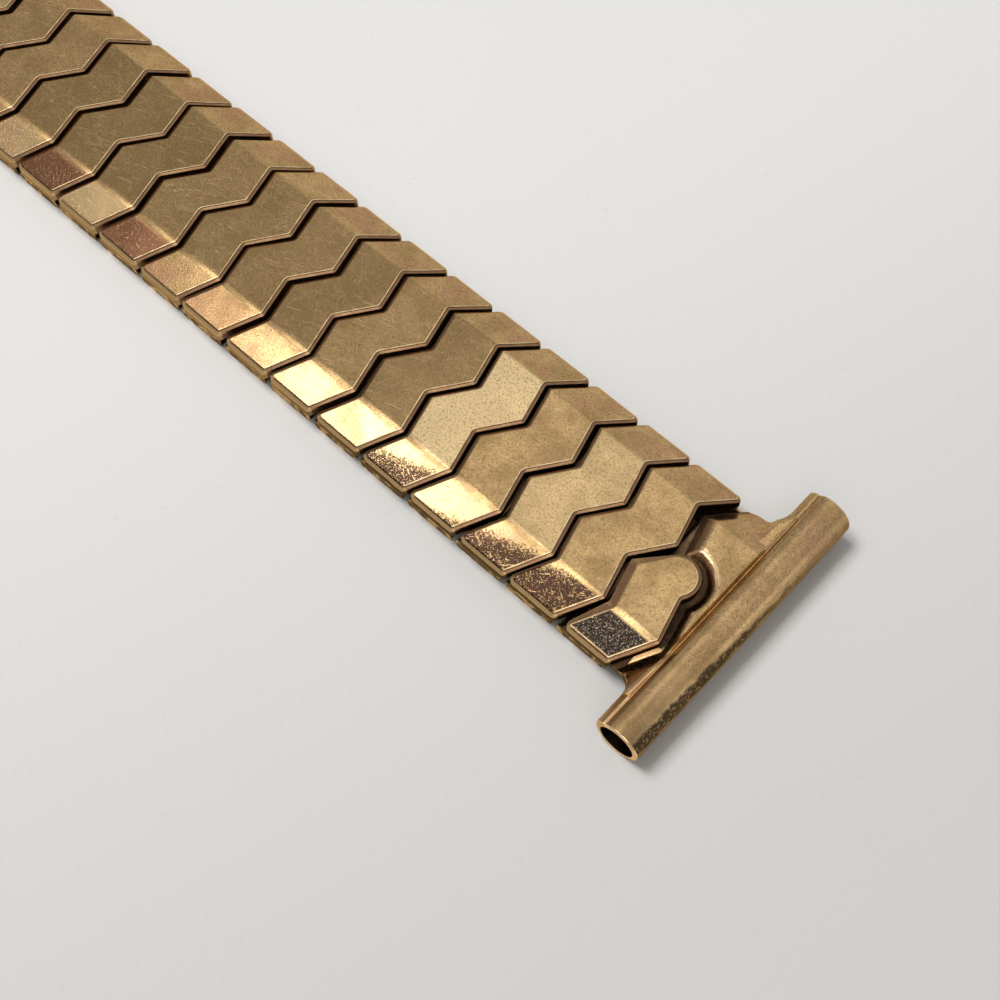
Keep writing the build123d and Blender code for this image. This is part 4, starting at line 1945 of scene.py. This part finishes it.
@dataclass
class Band:
    """The whole band: rows of links between two ends."""

    dresser: Dresser
    works: LinkWorks = field(default_factory=LinkWorks)
    cap: EndCap = field(default_factory=EndCap)
    settling: Settling = field(default_factory=Settling)

    @property
    def shell_underside(self) -> float:
        """Underside of the shells' roof, where the saddles reach."""
        return SIZES.band_height - SIZES.shell_sheet

    def build(self) -> None:
        """Build every piece of the band."""
        self.build_top_links()
        self.build_lower_links()
        plate = EndPlate(self.cap)
        for end in End:
            self.build_end(end, plate)

    def build_top_links(self) -> None:
        """Shell, sleeve, staples and leaf spring of every top link."""
        outline = [*SIZES.stepped_edge(SIZES.half_depth),
                   *reversed(SIZES.stepped_edge(-SIZES.half_depth))]
        templates = {
            "top_shell": (PressedShell(outline).mesh(), SHELL_FINISHES, Slot.GOLD),
            "upper_sleeve": (self.works.upper_sleeve(self.shell_underside), (SLEEVE,),
                             Slot.SLEEVE),
            "link_staples": (self.works.staples((self.works.hinge, self.works.slide)), (WIRE,),
                             Slot.SLEEVE),
            "upper_leaf": (self.works.upper_leaf(), (SPRING,), Slot.SLEEVE),
        }
        for number in range(2, SIZES.top_link_count):
            label = f"{number:02d}"
            for kind, (template, finishes, slot) in templates.items():
                replaces = (f"top_link_{label}",) if kind == "top_shell" else ()
                settled, wear_and_shading = template, (0.0, 0.0, 0.0)
                if replaces:
                    settled = self.settling.settle(template, number)
                    wear_and_shading = self.settling.wear_and_shading(number)
                self.dresser.piece(f"{kind}_{label}", placed(settled, SIZES.link_x(number)),
                                   finishes, f"top_{label}", slot, replaces, wear_and_shading)

    def build_lower_links(self) -> None:
        """Sleeve and leaf spring of every lower link."""
        templates = {
            "lower_sleeve": (self.works.lower_sleeve(), (SLEEVE,)),
            "lower_leaf": (self.works.lower_leaf(), (SPRING,)),
        }
        for number in range(1, SIZES.top_link_count):
            label = f"{number:02d}"
            along = SIZES.link_x(number) - SIZES.pitch / 2
            for kind, (template, finishes) in templates.items():
                replaces = (f"lower_link_{label}",) if kind == "lower_sleeve" else ()
                self.dresser.piece(f"{kind}_{label}", placed(template, along), finishes,
                                   f"lower_{label}", Slot.SLEEVE, replaces)

    def build_end(self, end: End, plate: EndPlate) -> None:
        """Plate with its tube, cap, sleeve, staples and leaf spring of one end.

        Args:
            end: which end.
            plate: the end piece, the same for both.
        """
        along = end.sign * SIZES.link_x(1)
        turned = end is End.B
        name = end.letter
        cap_shell = PressedShell(self.cap.outline(), self.cap.rear_flare)
        self.dresser.piece(f"end_plate_{name}", placed(plate.mesh(), along, turned),
                           PLATE_FINISHES, end.body, Slot.GOLD, (f"end_piece_{name}",))
        self.dresser.piece(f"cap_shell_{name}", placed(cap_shell.mesh(), along, turned),
                           SHELL_FINISHES, end.body, Slot.GOLD, (f"end_cap_{name}",),
                           self.settling.wear_and_shading(1))
        sleeve = self.works.upper_sleeve(plate.underside_z)
        self.dresser.piece(f"end_sleeve_shell_{name}", placed(sleeve, along), (SLEEVE,),
                           end.body, Slot.SLEEVE, (f"end_sleeve_{name}",))
        kind = self.works.hinge if turned else self.works.slide
        self.dresser.piece(f"end_staples_{name}", placed(self.works.staples((kind,)), along),
                           (WIRE,), end.body, Slot.SLEEVE)
        self.dresser.piece(f"end_leaf_{name}", placed(self.works.upper_leaf(), along),
                           (SPRING,), end.body, Slot.SLEEVE)


# Table, light and camera

@dataclass(frozen=True)
class LightPatch:
    """Soft round patch of the surroundings: direction, radii in degrees, and brightness."""

    direction: tuple[float, float, float]
    inner: float
    outer: float
    level: float


@dataclass
class Studio:
    """Pale table, soft surroundings, one broad lamp and the camera."""

    table_size: float = 6.0
    table_colour: Colour = (0.885, 0.877, 0.86, 1)
    table_shade: Colour = (0.72, 0.711, 0.695, 1)
    table_mottle: Colour = (0.70, 0.69, 0.68, 1)
    table_speck: Colour = (0.45, 0.44, 0.43, 1)
    table_gap: float = 0.01 * MM
    shade_direction: tuple[float, float] = (0.98, -0.45)
    shade_places: Levels = (10.0, 74.0)
    mottle_grain: Grain = Grain(0.02, 3.0)
    speck_grain: Grain = Grain(2.5)
    speck_levels: Levels = (0.66, 0.72)
    mottle_share: float = 0.12
    speck_share: float = 0.10
    table_roughness: float = 0.7
    speck_height: float = 0.004 * MM
    room_light: Colour = (1, 0.985, 0.96, 1)
    backdrop: Colour = (0.86, 0.855, 0.845, 1)
    horizon_level: float = 0.5
    zenith_level: float = 0.62
    zenith_height: float = 0.9
    fill_share: float = 0.42
    patches: tuple[LightPatch, ...] = (
        LightPatch((0.45, -0.5, 0.74), 12, 26, 2.2),
        LightPatch((-0.92, 0.1, 0.2), 10, 28, 0.25),
        LightPatch((0.81, -0.44, 0.36), 10, 18, 0.18),
        LightPatch((0.72, 0.66, 0.14), 10, 18, 0.18),
        LightPatch((0.36, 0.16, 0.92), 7, 12, 1.2),
        LightPatch((0.93, 0.35, 0.2), 6, 12, 1.4),
        LightPatch((-0.38, 0.83, 0.42), 16, 26, 0.66),
        LightPatch((-0.56, 0.26, 0.79), 9, 15, 0.36),
        LightPatch((-0.24, 0.31, 0.92), 7, 12, 1.3),
        LightPatch((-0.3, -0.69, 0.65), 10, 15, 0.1),
        LightPatch((-0.58, -0.50, 0.64), 7, 10, 0.15),
        LightPatch((-0.23, -0.47, 0.85), 9, 12, 1.5),
        LightPatch((-0.27, -0.19, 0.94), 7, 11, 4.2),
        LightPatch((-0.39, -0.405, 0.827), 5.2, 7.0, 4.4),
    )
    lamp_direction: tuple[float, float, float] = (-0.44, -0.085, 0.894)
    lamp_distance: float = 0.7
    lamp_size: float = 0.25
    lamp_power: float = 3.1
    camera_place: Vector = field(default_factory=lambda: Vector((67.924, -32.246, 82.976)) * MM)
    camera_aim: Vector = field(default_factory=lambda: Vector((40.140, -2.998, 2.0)) * MM)
    camera_roll: float = math.radians(-0.89)
    camera_lens: float = 58.95
    camera_far: float = 20.0

    def build(self) -> None:
        """Set up the table, the surroundings, the lamp and the camera."""
        self.build_table()
        self.build_surroundings()
        self.build_lamp()
        self.build_camera()
        bpy.context.scene.view_settings.view_transform = "Standard"

    def build_table(self) -> None:
        """Pale matt table top, a hair below the band."""
        bm = bmesh.new()
        bmesh.ops.create_grid(bm, x_segments=1, y_segments=1, size=self.table_size / 2)
        bmesh.ops.translate(bm, verts=bm.verts[:], vec=(0, 0, -self.table_gap))
        mesh = bpy.data.meshes.new("table_top")
        bm.to_mesh(mesh)
        bm.free()
        mesh.materials.append(self.table_material())
        table_top = bpy.data.objects.new("table_top", mesh)
        bpy.context.scene.collection.objects.link(table_top)

    def table_material(self) -> bpy.types.Material:
        """Pale paint, a little mottled and specked, and darker towards the right.

        Returns:
            The table's material.
        """
        table = bpy.data.materials.new("pale_table")
        table.use_nodes = True
        pad = NodePad(table.node_tree)
        mottle, specks = pad.grain(self.mottle_grain), pad.grain(self.speck_grain)
        along, aside = self.shade_direction
        across = pad.math("ADD", pad.product(pad.parts[0], along),
                          pad.product(pad.parts[1], aside))
        colour = pad.blend(pad.step(across, *self.shade_places), self.table_colour,
                           self.table_shade)
        colour = pad.blend(pad.product(mottle, self.mottle_share), colour, self.table_mottle)
        specked = pad.product(pad.step(specks, *self.speck_levels), self.speck_share)
        pad.surface(pad.blend(specked, colour, self.table_speck), self.table_roughness,
                    pad.bump(specks, self.speck_height))
        return table

    def build_surroundings(self) -> None:
        """Soft light from all round, brighter overhead, with a few patches for the metal."""
        world = bpy.data.worlds.new("soft_room")
        bpy.context.scene.world = world
        world.use_nodes = True
        pad = NodePad(world.node_tree)
        level = self.room_level(pad)
        path = pad.add("ShaderNodeLightPath").outputs
        dimmed = pad.product(level, self.fill_share)
        level = pad.add("ShaderNodeMix", {0: path["Is Glossy Ray"], 2: dimmed, 3: level},
                        data_type="FLOAT").outputs[0]
        light = pad.add("ShaderNodeBackground", {"Color": self.room_light, "Strength": level})
        shown = pad.add("ShaderNodeBackground", {"Color": self.backdrop})
        mixed = pad.add("ShaderNodeMixShader", {0: path["Is Camera Ray"], 1: light.outputs[0],
                                                2: shown.outputs[0]})
        pad.add("ShaderNodeOutputWorld", {"Surface": mixed.outputs[0]})

    def room_level(self, pad: NodePad) -> bpy.types.NodeSocket:
        """Brightness of the room in the direction of a ray, with its patches.

        Args:
            pad: the world's tree.

        Returns:
            Socket of the brightness.
        """
        ray = pad.add("ShaderNodeTexCoord").outputs["Generated"]
        height = pad.add("ShaderNodeSeparateXYZ", {0: ray}).outputs[2]
        level = pad.step(height, 0.0, self.zenith_height, self.horizon_level, self.zenith_level)
        for patch in self.patches:
            direction = tuple(Vector(patch.direction).normalized())
            facing = pad.add("ShaderNodeVectorMath", {0: ray, 1: direction},
                             operation="DOT_PRODUCT").outputs["Value"]
            mask = pad.step(facing, math.cos(math.radians(patch.outer)),
                            math.cos(math.radians(patch.inner)))
            level = pad.add("ShaderNodeMix", {0: mask, 2: level, 3: patch.level},
                            data_type="FLOAT").outputs[0]
        return level

    def build_lamp(self) -> None:
        """One broad soft lamp high behind the band, kept out of the metal's reflections."""
        lamp = bpy.data.lights.new("soft_lamp", "AREA")
        lamp.size = self.lamp_size
        lamp.energy = self.lamp_power
        holder = bpy.data.objects.new("soft_lamp", lamp)
        direction = Vector(self.lamp_direction).normalized()
        holder.location = self.camera_aim + direction * self.lamp_distance
        holder.rotation_mode = "QUATERNION"
        holder.rotation_quaternion = direction.to_track_quat("Z", "Y")
        holder.visible_glossy = False
        bpy.context.scene.collection.objects.link(holder)

    def build_camera(self) -> None:
        """Camera at the picture's angle."""
        data = bpy.data.cameras.new("picture_camera")
        data.lens = self.camera_lens
        data.clip_start = MM
        data.clip_end = self.camera_far
        camera = bpy.data.objects.new("picture_camera", data)
        look = (self.camera_aim - self.camera_place).normalized()
        camera.location = self.camera_place
        camera.rotation_mode = "QUATERNION"
        roll = Matrix.Rotation(self.camera_roll, 3, "Z").to_quaternion()
        camera.rotation_quaternion = look.to_track_quat("-Z", "Y") @ roll
        bpy.context.scene.collection.objects.link(camera)
        bpy.context.scene.camera = camera


def main() -> None:
    """Build the band, then the stage, the lamp and the camera."""
    logging.basicConfig(level=logging.INFO, format="%(message)s")
    dresser = Dresser()
    Band(dresser).build()
    Studio().build()
    log.info("%d pieces dressed", len(dresser.made))


if __name__ == "__main__":
    main()
